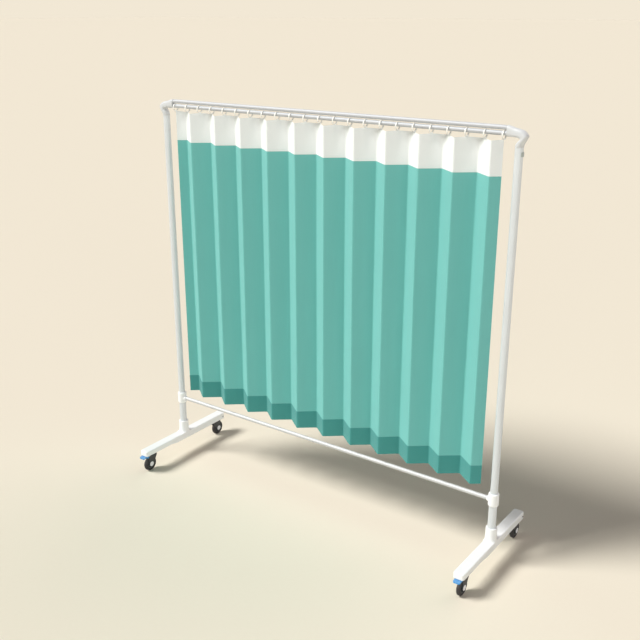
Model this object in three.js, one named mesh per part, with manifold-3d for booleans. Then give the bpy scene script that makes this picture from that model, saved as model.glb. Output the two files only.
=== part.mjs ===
// Ward privacy screen on wheels. A pleated curtain hangs from rings on a rod between two posts,
// and each post stands in a T-shaped foot with a caster under both of its ends.
// Millimetres, +Z up. The origin is on the floor, midway between the posts.
// +X runs from the left post to the right post, and -Y is the side with the two brake pedals.

import * as THREE from 'three';
import { mergeVertices } from 'three/addons/utils/BufferGeometryUtils.js';
import Module from 'manifold-3d';

const wasm = await Module();
wasm.setup();

// Fits shared by all pieces
const clearance = 0.3;
const overrun = 2;
const weldDistance = 0.001;
const roundFacets = 24;
const smallFacets = 12;
const barFacets = 20;
const quarterSteps = 4;

// Frame
const postSpacing = 1800;
const postRadius = 16;
const postWall = 1.5;
const postTopZ = 1790;
const lowerTubeRadius = 17.5;
const lowerTubeWall = 1.5;

// Feet: the front half has a raised underside, so the brake pedals can swing under it
const footLength = 600;
const footWidth = 50;
const footBottomZ = 88;
const footDepth = 34;
const frontUndersideRise = 8;
const riseStart = 130;
const riseEnd = 70;
const footCornerRadius = 12;
const footTopRounding = 5;
const footWall = 3.5;
const footRoof = 4;
const ribThickness = 2.5;
const ribRecess = 6;
const ribPitch = 52;
const bossHeight = 63;
const bossTopRadius = 24.3;
const bossFootRadius = 25.6;
const bossFlare = 9;
const bossChamfer = 1.6;
const columnWall = 4.8;
const tubeSeatDepth = 81;

// Casters
const wheelRadius = 37.5;
const tyreWidth = 17.4;
const tyreThickness = 12.5;
const tyreShoulder = 4;
const hubRimWidth = 15;
const hubRimThickness = 4;
const hubWebThickness = 6;
const hubBossRadius = 9;
const axleRadius = 4;
const axleCapRadius = 12.5;
const axleCapThickness = 1.5;
const axleCapDome = 0.6;
const casterInset = 64;
const casterTrail = 24;
const forkLegGap = 19;
const forkLegThickness = 3;
const forkLegEndRadius = 14;
const forkLegTop = 84;
const forkLegCorner = 4;
const crownThickness = 7;
const crownLength = 32;
const crownBack = 15;
const crownCorner = 6;
const raceRadius = 13;
const stemRadius = 5;
const stemLength = 24;
const socketRadius = 10;

// Brake pedals of the two front casters
const pedalPinRadius = 2;
const pedalHubRadius = 4.4;
const pedalPinForward = 8;
const pedalPinDrop = 3.5;
const pedalReach = 56;
const pedalTabLength = 36;
const pedalTabWidth = 31;
const pedalTabThickness = 6;
const pedalTabFall = 3.5;
const pedalTabCorner = 6;
const pedalHeadroom = 3;
const pedalShoeForward = 19;
const pedalShoeDrop = 6.2;
const pedalArmDepth = 12;

// Collars that join the lower tubes, the posts and the bottom rail
const collarRadius = 23;
const collarBottomZ = 292;
const collarHeight = 57;
const collarChamfer = 3;
const collarWeb = 1.6;
const collarWebHole = 12;
const railSocketRadius = 12;
const railSocketReach = 28;
const railSocketFloor = 1.4;
const bottomRailRadius = 9.5;
const bottomRailWall = 1.2;
const bottomRailDrop = 2.5;

// Top rail: a stiffening tube above the curtain rod, bent down at both ends
const topTubeRadius = 8.75;
const topTubeWall = 1.5;
const topTubeBendRadius = 80;
const topTubeBendReach = 24.6;
const topTubeBendSteps = 4;
const rodRadius = 8.75;
const rodWall = 1.2;
const rodRise = 46.2;

// End fittings, one elbow on each post
const fittingInnerReach = 50;
const fittingOuterReach = 33;
const fittingHeight = 77;
const fittingDepth = 37;
const fittingSocketDepth = 7;
const fittingPlugLength = 40;
const fittingFacets = 16;
const stationSteps = 1.5;
// Stations of the elbow, from the post to the rails. Shares of the reaches and of the height give
// the throat point and the crest point; a share of the depth and a roundness follow.
const stationShares = [
  { throat: [-0.34, 0], crest: [0.53, 0], depth: 0.92, round: 1 },
  { throat: [-0.31, 0.09], crest: [0.53, 0.08], depth: 0.94, round: 1 },
  { throat: [-0.23, 0.175], crest: [0.62, 0.2], depth: 0.98, round: 0.9 },
  { throat: [-0.12, 0.26], crest: [0.78, 0.32], depth: 1, round: 0.8 },
  { throat: [0.03, 0.34], crest: [0.92, 0.45], depth: 1, round: 0.75 },
  { throat: [0, 0.4], crest: [0.95, 0.575], depth: 1, round: 0.7 },
  { throat: [-0.17, 0.435], crest: [0.5, 0.77], depth: 0.97, round: 0.7 },
  { throat: [-0.38, 0.448], crest: [-0.06, 0.85], depth: 0.9, round: 0.7 },
  { throat: [-0.58, 0.45], crest: [-0.42, 0.9], depth: 0.8, round: 0.7 },
  { throat: [-0.8, 0.45], crest: [-0.74, 0.965], depth: 0.73, round: 0.7 },
  { throat: [-1, 0.45], crest: [-1, 1], depth: 0.7, round: 0.7 },
];

// Curtain and rings
const pleatCount = 22;
const curtainEdgeGap = 63;
const pleatDepth = 30.2;
const clothThickness = 1.2;
const creaseRounding = 7;
const creaseSteps = 2;
const curtainBottomZ = 373.5;
const hemHeight = 86;
const headerHeight = 134;
const ringRadius = 17.4;
const ringThickness = 1.8;
const ringWidth = 6;
const ringFacets = 16;

// Rubber buffer on the outer side of the right post
const bufferHeight = 16.5;
const bufferThickness = 2.5;
const bufferHalfAngle = 0.72;
const bufferTopDrop = 17;

// Screws in the outer faces of the feet
const screwHeadRadius = 3.2;
const screwHeadHeight = 1.8;
const screwShankRadius = 2;
const screwShankLength = 1.4;
const footScrewInset = 16;
const footScrewRise = 14;

// Places that follow from the sizes above
const footTopZ = footBottomZ + footDepth;
const bossTopZ = footTopZ + bossHeight;
const tubeSeatZ = bossTopZ - tubeSeatDepth;
const frontUndersideZ = footBottomZ + frontUndersideRise;
const casterPivotY = footLength / 2 - casterInset;
const forkTopZ = footBottomZ - clearance;
const collarTopZ = collarBottomZ + collarHeight;
const columnRadius = lowerTubeRadius + clearance + columnWall;
const collarMiddleZ = (collarBottomZ + collarTopZ) / 2;
const bottomRailZ = collarMiddleZ - bottomRailDrop;
const fittingBottomZ = postTopZ + clearance;
const rodZ = fittingBottomZ + rodRise;
const ringZ = rodZ + rodRadius + clearance + ringThickness - ringRadius;
const curtainTopZ = ringZ - ringRadius - clearance;
const curtainSpread = postSpacing - 2 * curtainEdgeGap;
const pleatPitch = curtainSpread / pleatCount;
const railHalfLength = postSpacing / 2 - fittingInnerReach + fittingSocketDepth;
// The top tube's bent end comes down onto the curtain rod, inside the end fitting
const topTubeBendAngle = Math.asin(topTubeBendReach / topTubeBendRadius);
const topTubeBendDrop = topTubeBendRadius * (1 - Math.cos(topTubeBendAngle));
const topTubeEndZ = rodZ + rodRadius + clearance + topTubeRadius * Math.cos(topTubeBendAngle);
const topTubeZ = topTubeEndZ + topTubeBendDrop;
const forkHalfWidth = forkLegGap / 2 + forkLegThickness;
const pedalPinZ = forkLegTop - pedalPinDrop;
const pedalPinForwardOfPivot = casterTrail + pedalPinForward;

const materials = {
  foot: new THREE.MeshStandardMaterial({ color: 0xf2f2ee, roughness: 0.42, metalness: 0 }),
  tube: new THREE.MeshStandardMaterial({ color: 0xd6dad6, roughness: 0.3, metalness: 0.35 }),
  rail: new THREE.MeshStandardMaterial({ color: 0xd2d4d2, roughness: 0.22, metalness: 0.6 }),
  fitting: new THREE.MeshStandardMaterial({ color: 0xcfd3cf, roughness: 0.38, metalness: 0.1 }),
  tyre: new THREE.MeshStandardMaterial({ color: 0x2e2d2f, roughness: 0.7, metalness: 0 }),
  fork: new THREE.MeshStandardMaterial({ color: 0x3c3e40, roughness: 0.5, metalness: 0 }),
  cap: new THREE.MeshStandardMaterial({ color: 0xdededf, roughness: 0.4, metalness: 0 }),
  pedal: new THREE.MeshStandardMaterial({ color: 0x4f9bd8, roughness: 0.4, metalness: 0 }),
  cloth: new THREE.MeshStandardMaterial({ color: 0x5fb3a4, roughness: 0.9, metalness: 0 }),
  hem: new THREE.MeshStandardMaterial({ color: 0x3f8c80, roughness: 0.9, metalness: 0 }),
  header: new THREE.MeshStandardMaterial({ color: 0xf0f3ee, roughness: 0.9, metalness: 0 }),
  ring: new THREE.MeshStandardMaterial({ color: 0xf4f2ea, roughness: 0.4, metalness: 0 }),
  buffer: new THREE.MeshStandardMaterial({ color: 0x69736e, roughness: 0.8, metalness: 0 }),
  screw: new THREE.MeshStandardMaterial({ color: 0x8d9092, roughness: 0.35, metalness: 0.8 }),
};

// Joins equal corners, drops empty triangles and turns the faces outwards
function weld(geometry) {
  const bare = new THREE.BufferGeometry();
  bare.setAttribute('position', geometry.getAttribute('position').clone());
  if (geometry.index) bare.setIndex(geometry.index.clone());
  const merged = mergeVertices(bare, weldDistance);
  const corners = merged.index.array;
  const kept = [];
  for (let i = 0; i < corners.length; i += 3) {
    const [a, b, c] = [corners[i], corners[i + 1], corners[i + 2]];
    if (a !== b && b !== c && c !== a) kept.push(a, b, c);
  }
  merged.setIndex(kept);
  if (signedVolume(merged) < 0) merged.setIndex(kept.reverse());
  return merged;
}

function signedVolume(geometry) {
  const position = geometry.getAttribute('position');
  const corner = [new THREE.Vector3(), new THREE.Vector3(), new THREE.Vector3()];
  let volume = 0;
  for (let i = 0; i < geometry.index.count; i += 3) {
    corner.forEach((point, k) => point.fromBufferAttribute(position, geometry.index.getX(i + k)));
    volume += corner[0].dot(corner[1].clone().cross(corner[2]));
  }
  return volume;
}

function solidOf(geometry) {
  const welded = weld(geometry);
  const vertProperties = Float32Array.from(welded.getAttribute('position').array);
  const triVerts = Uint32Array.from(welded.index.array);
  return new wasm.Manifold(new wasm.Mesh({ numProp: 3, vertProperties, triVerts }));
}

function geometryOf(solid) {
  const mesh = solid.getMesh();
  const geometry = new THREE.BufferGeometry();
  geometry.setAttribute('position', new THREE.BufferAttribute(Float32Array.from(mesh.vertProperties), 3));
  geometry.setIndex(Array.from(mesh.triVerts));
  geometry.computeVertexNormals();
  return geometry;
}

function cut(body, ...tools) {
  return tools.reduce((left, tool) => left.subtract(tool), body);
}

function join(...bodies) {
  return bodies.reduce((sum, body) => sum.add(body));
}

// Turns a profile of [radius, height] points about the Z axis
function turned(profile, facets = roundFacets) {
  const points = profile.map(([radius, height]) => new THREE.Vector2(radius, height));
  return new THREE.LatheGeometry(points, facets).rotateX(Math.PI / 2);
}

function rod(radius, fromZ, toZ, facets = roundFacets) {
  return turned([[0, fromZ], [radius, fromZ], [radius, toZ], [0, toZ]], facets);
}

function tube(radius, wall, fromZ, toZ, facets = roundFacets) {
  const inner = radius - wall;
  return turned([[inner, fromZ], [radius, fromZ], [radius, toZ], [inner, toZ], [inner, fromZ]], facets);
}

// Lays a Z-axis body along the X axis
function alongX(geometry) {
  return geometry.rotateY(Math.PI / 2);
}

// Extrudes a [y, z] outline across X, centred on x = 0
function acrossX(outline, width) {
  const shape = new THREE.Shape(outline.map(([y, z]) => new THREE.Vector2(y, z)));
  const body = new THREE.ExtrudeGeometry(shape, { depth: width, bevelEnabled: false });
  return body.translate(0, 0, -width / 2).rotateY(Math.PI / 2).rotateX(Math.PI / 2);
}

// Extrudes an [x, y] outline upwards
function upwards(outline, fromZ, toZ) {
  const shape = new THREE.Shape(outline.map(([x, y]) => new THREE.Vector2(x, y)));
  const body = new THREE.ExtrudeGeometry(shape, { depth: toZ - fromZ, bevelEnabled: false });
  return body.translate(0, 0, fromZ);
}

function arcPoints(centreX, centreY, radius, fromAngle, toAngle, steps) {
  const points = [];
  for (let i = 0; i <= steps; i += 1) {
    const angle = fromAngle + ((toAngle - fromAngle) * i) / steps;
    points.push([centreX + radius * Math.cos(angle), centreY + radius * Math.sin(angle)]);
  }
  return points;
}

function roundedRectangle(width, length, radius, steps = quarterSteps) {
  const x = width / 2 - radius;
  const y = length / 2 - radius;
  const corners = [[x, y], [-x, y], [-x, -y], [x, -y]];
  return corners.flatMap(([cx, cy], i) => {
    const start = (i * Math.PI) / 2;
    return arcPoints(cx, cy, radius, start, start + Math.PI / 2, steps);
  });
}

// Skins a row of closed loops of [x, y, z] points that share their number of points
function skinned(loops) {
  const count = loops[0].length;
  const indices = [];
  for (let level = 0; level + 1 < loops.length; level += 1) {
    for (let i = 0; i < count; i += 1) {
      const a = level * count + i;
      const b = level * count + ((i + 1) % count);
      indices.push(a, b, b + count, a, b + count, a + count);
    }
  }
  const last = (loops.length - 1) * count;
  for (let i = 1; i + 1 < count; i += 1) {
    indices.push(0, i + 1, i, last, last + i, last + i + 1);
  }
  const geometry = new THREE.BufferGeometry();
  geometry.setAttribute('position', new THREE.Float32BufferAttribute(loops.flat(2), 3));
  geometry.setIndex(indices);
  return geometry;
}

function stacked(levels) {
  return skinned(levels.map(({ outline, z }) => outline.map(([x, y]) => [x, y, z])));
}

const screen = new THREE.Group();

function place(name, geometry, material, x = 0, y = 0, z = 0, turn = 0) {
  const mesh = new THREE.Mesh(geometry, material);
  mesh.name = name;
  mesh.position.set(x, y, z);
  mesh.rotation.z = turn;
  screen.add(mesh);
}

// A foot is a ribbed shell, open below, with a round boss that takes the lower tube
function footOutline(inset) {
  return roundedRectangle(footWidth - 2 * inset, footLength - 2 * inset, footCornerRadius - inset);
}

function footShell() {
  const rounding = arcPoints(-footTopRounding, footTopZ - footTopRounding, footTopRounding, 0, Math.PI / 2, 3);
  const outer = stacked([
    { outline: footOutline(0), z: footBottomZ },
    ...rounding.map(([inset, z]) => ({ outline: footOutline(-inset), z })),
  ]);
  const hollow = stacked([
    { outline: footOutline(footWall), z: footBottomZ - overrun },
    { outline: footOutline(footWall), z: footTopZ - footRoof },
  ]);
  return cut(solidOf(outer), solidOf(hollow));
}

// The raised underside of the front half, with a smooth step ahead of the boss
function frontRelief() {
  const frontY = -footLength / 2 - overrun;
  const step = new THREE.CubicBezierCurve(
    new THREE.Vector2(-riseStart, frontUndersideZ),
    new THREE.Vector2(-(riseStart + riseEnd) / 2, frontUndersideZ),
    new THREE.Vector2(-(riseStart + riseEnd) / 2, footBottomZ),
    new THREE.Vector2(-riseEnd, footBottomZ),
  ).getPoints(2 * quarterSteps).map((point) => [point.x, point.y]);
  const outline = [
    [frontY, footBottomZ - overrun],
    [-riseEnd, footBottomZ - overrun],
    ...step.reverse(),
    [frontY, frontUndersideZ],
  ];
  return solidOf(acrossX(outline, footWidth + 2 * overrun));
}

function footRibs() {
  const ribs = [];
  const reach = casterPivotY - socketRadius;
  const count = Math.floor((reach - columnRadius) / ribPitch);
  const width = footWidth - 2 * footWall + ribThickness;
  for (const side of [-1, 1]) {
    const bottomZ = (side < 0 ? frontUndersideZ : footBottomZ) + ribRecess;
    for (let i = 1; i <= count; i += 1) {
      const y = side * (columnRadius + i * ribPitch);
      const half = ribThickness / 2;
      const rib = roundedRectangle(width, ribThickness, half / 2, 1).map(([px, py]) => [px, py + y]);
      ribs.push(solidOf(upwards(rib, bottomZ, footTopZ - footRoof + half)));
    }
  }
  return join(...ribs);
}

function footBoss() {
  const flareRadius = bossFootRadius + bossFlare;
  const flare = arcPoints(flareRadius, footTopZ + bossFlare, bossFlare, -Math.PI / 2, -Math.PI, quarterSteps);
  const profile = [
    [0, footTopZ - footRoof],
    [flareRadius, footTopZ - footRoof],
    ...flare,
    [bossTopRadius, bossTopZ - bossChamfer],
    [bossTopRadius - bossChamfer, bossTopZ],
    [0, bossTopZ],
  ];
  const slab = upwards(roundedRectangle(footWidth, footLength, footCornerRadius), footBottomZ, bossTopZ);
  return solidOf(turned(profile)).intersect(solidOf(slab));
}

function casterSockets() {
  const rise = footDepth - footRoof;
  const socket = rod(socketRadius, 0, rise + footRoof / 2, smallFacets);
  return [-1, 1].map((side) => solidOf(socket.clone().translate(0, side * casterPivotY, footBottomZ)));
}

function socketBores() {
  const depth = stemLength + clearance;
  const bore = rod(stemRadius + clearance, -overrun, depth, smallFacets);
  return [-1, 1].map((side) => solidOf(bore.clone().translate(0, side * casterPivotY, footBottomZ)));
}

function footGeometry() {
  const column = solidOf(rod(columnRadius, footBottomZ, footTopZ));
  const bore = solidOf(rod(lowerTubeRadius + clearance, tubeSeatZ, bossTopZ + overrun));
  const shell = cut(footShell(), frontRelief());
  const body = join(shell, footRibs(), footBoss(), column, ...casterSockets());
  const screwHole = rod(screwShankRadius + clearance, -footWall - overrun, overrun, smallFacets);
  alongX(screwHole).translate(footWidth / 2, footLength / 2 - footScrewInset, footBottomZ + footScrewRise);
  return geometryOf(cut(body, bore, ...socketBores(), solidOf(screwHole)));
}

// The fork is drawn with its wheel towards -Y and its swivel axis on Z; the pedal pin is optional
function forkLegOutline() {
  const axle = [-casterTrail, wheelRadius];
  const front = -casterTrail - forkLegEndRadius;
  const back = [crownBack, forkLegTop - crownThickness];
  const reachY = back[0] - axle[0];
  const reachZ = back[1] - axle[1];
  const tangent = Math.atan2(reachZ, reachY) - Math.acos(forkLegEndRadius / Math.hypot(reachY, reachZ));
  return [
    [crownBack, forkLegTop],
    [front + forkLegCorner, forkLegTop],
    [front, forkLegTop - forkLegCorner],
    ...arcPoints(axle[0], axle[1], forkLegEndRadius, Math.PI, tangent + 2 * Math.PI, 2 * quarterSteps),
    back,
  ];
}

function forkGeometry(withPedalPin) {
  const legs = [-1, 1].map((side) => {
    const leg = acrossX(forkLegOutline(), forkLegThickness);
    return solidOf(leg.translate((side * (forkLegGap + forkLegThickness)) / 2, 0, 0));
  });
  const crownMiddleY = crownBack - crownLength / 2;
  const crownOutline = roundedRectangle(2 * forkHalfWidth, crownLength, crownCorner)
    .map(([x, y]) => [x, y + crownMiddleY]);
  const crown = solidOf(upwards(crownOutline, forkLegTop - crownThickness, forkLegTop));
  const stem = solidOf(turned([
    [0, forkLegTop - clearance],
    [raceRadius, forkLegTop - clearance],
    [raceRadius, forkTopZ - clearance],
    [raceRadius - clearance, forkTopZ],
    [stemRadius, forkTopZ],
    [stemRadius, footBottomZ + stemLength - clearance],
    [0, footBottomZ + stemLength - clearance],
  ], smallFacets));
  const holeEnd = forkHalfWidth + overrun;
  const axleHole = alongX(rod(axleRadius + clearance, -holeEnd, holeEnd, smallFacets));
  axleHole.translate(0, -casterTrail, wheelRadius);
  const body = cut(join(...legs, crown, stem), solidOf(axleHole));
  if (!withPedalPin) return geometryOf(body);
  const pin = alongX(rod(pedalPinRadius, -forkHalfWidth, forkHalfWidth, smallFacets));
  pin.translate(0, -pedalPinForwardOfPivot, pedalPinZ);
  return geometryOf(join(body, solidOf(pin)));
}

function tyreGeometry() {
  const inner = wheelRadius - tyreThickness;
  const half = tyreWidth / 2;
  const edge = wheelRadius - tyreShoulder;
  const upper = arcPoints(edge, half - tyreShoulder, tyreShoulder, Math.PI / 2, 0, quarterSteps / 2);
  const lower = arcPoints(edge, tyreShoulder - half, tyreShoulder, 0, -Math.PI / 2, quarterSteps / 2);
  return alongX(turned([[inner, -half], [inner, half], ...upper, ...lower, [inner, -half]]));
}

function hubGeometry() {
  const bore = axleRadius + clearance;
  const outer = wheelRadius - tyreThickness - clearance;
  const rimInner = outer - hubRimThickness;
  const half = forkLegGap / 2 - clearance;
  const rim = hubRimWidth / 2;
  const web = hubWebThickness / 2;
  const boss = [[bore, half], [hubBossRadius, half], [hubBossRadius, web]];
  const side = [...boss, [rimInner, web], [rimInner, rim], [outer, rim]];
  const otherSide = side.map(([radius, x]) => [radius, -x]).reverse();
  return alongX(turned([...side, ...otherSide, side[0]], barFacets));
}

function axleGeometry() {
  const seat = forkHalfWidth + clearance;
  const face = seat + axleCapThickness;
  const half = [
    [axleRadius, seat],
    [axleCapRadius, seat],
    [axleCapRadius, face - axleCapDome],
    [axleCapRadius - axleCapDome, face],
    [0, face],
  ];
  const otherHalf = half.map(([radius, x]) => [radius, -x]).reverse();
  return alongX(turned([...otherHalf, ...half], barFacets));
}

// The pedal is drawn like the fork: a lever on the pin, a brake shoe over the tyre and a wide tab
function pedalGeometry() {
  const pinY = -pedalPinForwardOfPivot;
  const tabTopZ = frontUndersideZ - pedalHeadroom;
  const tabFrontY = -casterTrail - pedalReach;
  const tabBackY = tabFrontY + pedalTabLength;
  const armBackY = tabBackY - pedalHubRadius;
  const arm = [
    ...arcPoints(pinY, pedalPinZ, pedalHubRadius, Math.PI / 2, -Math.PI / 2, quarterSteps),
    [pinY - pedalShoeForward / 2, pedalPinZ - pedalShoeDrop],
    [pinY - pedalHubRadius - pedalShoeDrop, pedalPinZ - pedalShoeDrop],
    [armBackY - pedalTabThickness, tabTopZ - pedalArmDepth],
    [armBackY - pedalTabThickness, tabTopZ - pedalTabThickness / 2],
    [armBackY, tabTopZ - pedalTabThickness / 2],
  ];
  const armSolid = solidOf(acrossX(arm, forkLegGap - 2 * clearance));
  const tabSide = [
    [tabBackY, tabTopZ],
    [tabBackY, tabTopZ - pedalTabThickness],
    [tabFrontY, tabTopZ - pedalTabThickness - pedalTabFall],
    [tabFrontY, tabTopZ - pedalTabFall],
    [-casterInset, tabTopZ],
  ];
  const tabMiddleY = (tabFrontY + tabBackY) / 2;
  const tabPlan = roundedRectangle(pedalTabWidth, pedalTabLength, pedalTabCorner)
    .map(([x, y]) => [x, y + tabMiddleY]);
  const plan = solidOf(upwards(tabPlan, footBottomZ - pedalTabThickness, frontUndersideZ));
  const tab = solidOf(acrossX(tabSide, pedalTabWidth + 2 * overrun)).intersect(plan);
  const pinHole = alongX(rod(pedalPinRadius + clearance, -forkHalfWidth, forkHalfWidth, smallFacets));
  pinHole.translate(0, pinY, pedalPinZ);
  return geometryOf(cut(join(armSolid, tab), solidOf(pinHole)));
}

// Collar with the bottom rail's socket towards +X
function collarGeometry() {
  const body = solidOf(turned([
    [0, collarBottomZ],
    [collarRadius - collarChamfer, collarBottomZ],
    [collarRadius, collarBottomZ + collarChamfer],
    [collarRadius, collarTopZ - collarChamfer],
    [collarRadius - collarChamfer, collarTopZ],
    [0, collarTopZ],
  ]));
  const socket = alongX(rod(railSocketRadius, 0, railSocketReach, barFacets)).translate(0, 0, bottomRailZ);
  const webBottomZ = collarMiddleZ - collarWeb / 2;
  const webTopZ = collarMiddleZ + collarWeb / 2;
  const lowerBore = solidOf(rod(lowerTubeRadius + clearance, collarBottomZ - overrun, webBottomZ));
  const upperBore = solidOf(rod(postRadius + clearance, webTopZ, collarTopZ + overrun));
  const webHole = solidOf(rod(collarWebHole, webBottomZ - overrun, webTopZ + overrun, smallFacets));
  const socketFrom = lowerTubeRadius + clearance + railSocketFloor;
  const socketTo = railSocketReach + overrun;
  const railBore = alongX(rod(bottomRailRadius + clearance, socketFrom, socketTo, barFacets));
  railBore.translate(0, 0, bottomRailZ);
  return geometryOf(cut(join(body, solidOf(socket)), lowerBore, upperBore, webHole, solidOf(railBore)));
}

// Line of the top tube: straight between the posts, then an arc down into each end fitting.
// Its steps follow the parameter, so all of them but one lie in the two arcs.
class TopTubeLine extends THREE.Curve {
  constructor(halfLength) {
    super();
    this.bendX = railHalfLength - topTubeBendReach;
    this.bendAngle = Math.asin((halfLength - this.bendX) / topTubeBendRadius);
  }

  getUtoTmapping(u) {
    return u;
  }

  getPoint(t, target = new THREE.Vector3()) {
    const step = Math.abs(t - 0.5) * (2 * topTubeBendSteps + 1) - 0.5;
    const side = Math.sign(t - 0.5);
    if (step < 0) return target.set(side * this.bendX * (2 * step + 1), 0, topTubeZ);
    const angle = (this.bendAngle * step) / topTubeBendSteps;
    const x = side * (this.bendX + topTubeBendRadius * Math.sin(angle));
    return target.set(x, 0, topTubeZ - topTubeBendRadius * (1 - Math.cos(angle)));
  }
}

function circle(radius, facets) {
  const points = arcPoints(0, 0, radius, 0, 2 * Math.PI, facets).slice(1);
  return points.map(([x, y]) => new THREE.Vector2(x, y));
}

function alongTopTube(section, halfLength) {
  const extrudePath = new TopTubeLine(halfLength);
  return new THREE.ExtrudeGeometry(section, { steps: 2 * topTubeBendSteps + 1, extrudePath });
}

function topTubeGeometry() {
  const section = new THREE.Shape(circle(topTubeRadius, barFacets));
  section.holes.push(new THREE.Path(circle(topTubeRadius - topTubeWall, barFacets)));
  return weld(alongTopTube(section, railHalfLength));
}

// Elbow on the post at `side`, in the frame of the whole screen
function fittingPoint([reachShare, heightShare], side) {
  const reach = reachShare < 0 ? fittingInnerReach : fittingOuterReach;
  const x = side * (postSpacing / 2 + reachShare * reach);
  return new THREE.Vector3(x, 0, fittingBottomZ + heightShare * fittingHeight);
}

function fittingLoops(side) {
  const throats = new THREE.CatmullRomCurve3(stationShares.map(({ throat }) => fittingPoint(throat, side)));
  const crests = new THREE.CatmullRomCurve3(stationShares.map(({ crest }) => fittingPoint(crest, side)));
  const forms = new THREE.SplineCurve(
    stationShares.map(({ depth, round }) => new THREE.Vector2(depth, round)),
  );
  const steps = Math.round(stationSteps * (stationShares.length - 1));
  const loops = [];
  for (let i = 0; i <= steps; i += 1) {
    const [throat, crest, form] = [throats, crests, forms].map((curve) => curve.getPoint(i / steps));
    const middle = throat.clone().add(crest).multiplyScalar(0.5);
    const half = crest.clone().sub(middle);
    const loop = [];
    for (let k = 0; k < fittingFacets; k += 1) {
      const angle = (2 * Math.PI * k) / fittingFacets;
      const along = Math.sign(Math.cos(angle)) * Math.abs(Math.cos(angle)) ** form.y;
      const across = Math.sign(Math.sin(angle)) * Math.abs(Math.sin(angle)) ** form.y;
      const point = middle.clone().addScaledVector(half, along);
      loop.push([point.x, (across * form.x * fittingDepth) / 2, point.z]);
    }
    loops.push(loop);
  }
  return loops;
}

function fittingGeometry(side) {
  const postX = (side * postSpacing) / 2;
  const plugRadius = postRadius - postWall - clearance;
  const plug = rod(plugRadius, postTopZ - fittingPlugLength, fittingBottomZ + overrun, barFacets);
  const rodEnd = railHalfLength + clearance;
  const rodBore = alongX(rod(rodRadius + clearance, -rodEnd, rodEnd, barFacets)).translate(0, 0, rodZ);
  const tubeSection = new THREE.Shape(circle(topTubeRadius + clearance, barFacets));
  const tubeBore = alongTopTube(tubeSection, railHalfLength + clearance);
  const body = join(solidOf(skinned(fittingLoops(side))), solidOf(plug.translate(postX, 0, 0)));
  return geometryOf(cut(body, solidOf(rodBore), solidOf(tubeBore)));
}

// Centre line of the pleated cloth, seen from above, with rounded creases
function pleatLine() {
  const leftX = -curtainSpread / 2;
  const corners = [[leftX, 0]];
  for (let i = 0; i < pleatCount; i += 1) {
    const side = i % 2 === 0 ? 1 : -1;
    corners.push([leftX + (i + 0.5) * pleatPitch, side * pleatDepth]);
  }
  corners.push([leftX + curtainSpread, 0]);
  const points = corners.map(([x, y]) => new THREE.Vector2(x, y));
  const line = [points[0]];
  for (let i = 1; i + 1 < points.length; i += 1) {
    const before = points[i].clone().add(points[i - 1].clone().sub(points[i]).setLength(creaseRounding));
    const after = points[i].clone().add(points[i + 1].clone().sub(points[i]).setLength(creaseRounding));
    line.push(...new THREE.QuadraticBezierCurve(before, points[i], after).getPoints(creaseSteps));
  }
  line.push(points[points.length - 1]);
  return line;
}

function offsetLine(line, distance) {
  return line.map((point, i) => {
    const back = line[Math.max(i - 1, 0)];
    const ahead = line[Math.min(i + 1, line.length - 1)];
    const along = ahead.clone().sub(back).normalize();
    return [point.x - along.y * distance, point.y + along.x * distance];
  });
}

function clothBand(fromZ, toZ) {
  const line = pleatLine();
  const half = clothThickness / 2;
  return weld(upwards([...offsetLine(line, half), ...offsetLine(line, -half).reverse()], fromZ, toZ));
}

// A flat ring on the X axis
function ringGeometry() {
  const inner = ringRadius - ringThickness;
  const half = ringWidth / 2;
  const profile = [
    [inner, -half],
    [ringRadius, -half],
    [ringRadius, half],
    [inner, half],
    [inner, -half],
  ];
  return weld(alongX(turned(profile, ringFacets)));
}

// Saddle pad on the post, facing +X
function bufferGeometry() {
  const inner = postRadius + clearance;
  const outline = [
    ...arcPoints(0, 0, inner + bufferThickness, -bufferHalfAngle, bufferHalfAngle, 2 * quarterSteps),
    ...arcPoints(0, 0, inner, bufferHalfAngle, -bufferHalfAngle, 2 * quarterSteps),
  ];
  const topZ = postTopZ - bufferTopDrop;
  return weld(upwards(outline, topZ - bufferHeight, topZ));
}

// A pan-head screw that points along +Z: its head rests one clearance above z = 0
function screwGeometry() {
  return turned([
    [0, clearance - screwShankLength],
    [screwShankRadius, clearance - screwShankLength],
    [screwShankRadius, clearance],
    [screwHeadRadius, clearance],
    [screwHeadRadius, clearance + screwHeadHeight / 2],
    [screwShankRadius, clearance + screwHeadHeight],
    [0, clearance + screwHeadHeight],
  ], smallFacets);
}

// The two uprights, each from its foot to its end fitting
function addUprights() {
  const foot = footGeometry();
  const collar = collarGeometry();
  const lowerTubeTopZ = collarMiddleZ - collarWeb / 2 - clearance;
  const postBottomZ = collarMiddleZ + collarWeb / 2 + clearance;
  const lowerTube = weld(tube(lowerTubeRadius, lowerTubeWall, tubeSeatZ + clearance, lowerTubeTopZ));
  const post = weld(tube(postRadius, postWall, postBottomZ, postTopZ));
  const screw = weld(alongX(screwGeometry()));
  const screwY = footLength / 2 - footScrewInset;
  const screwZ = footBottomZ + footScrewRise;
  for (const [label, side] of [['left', -1], ['right', 1]]) {
    const x = (side * postSpacing) / 2;
    const inwards = side < 0 ? 0 : Math.PI;
    place(`foot_${label}`, foot, materials.foot, x);
    place(`lower_tube_${label}`, lowerTube, materials.tube, x);
    place(`rail_collar_${label}`, collar, materials.foot, x, 0, 0, inwards);
    place(`post_${label}`, post, materials.tube, x);
    place(`end_fitting_${label}`, fittingGeometry(side), materials.fitting);
    place(`foot_screw_${label}`, screw, materials.screw, x + footWidth / 2, screwY, screwZ);
  }
}

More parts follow.
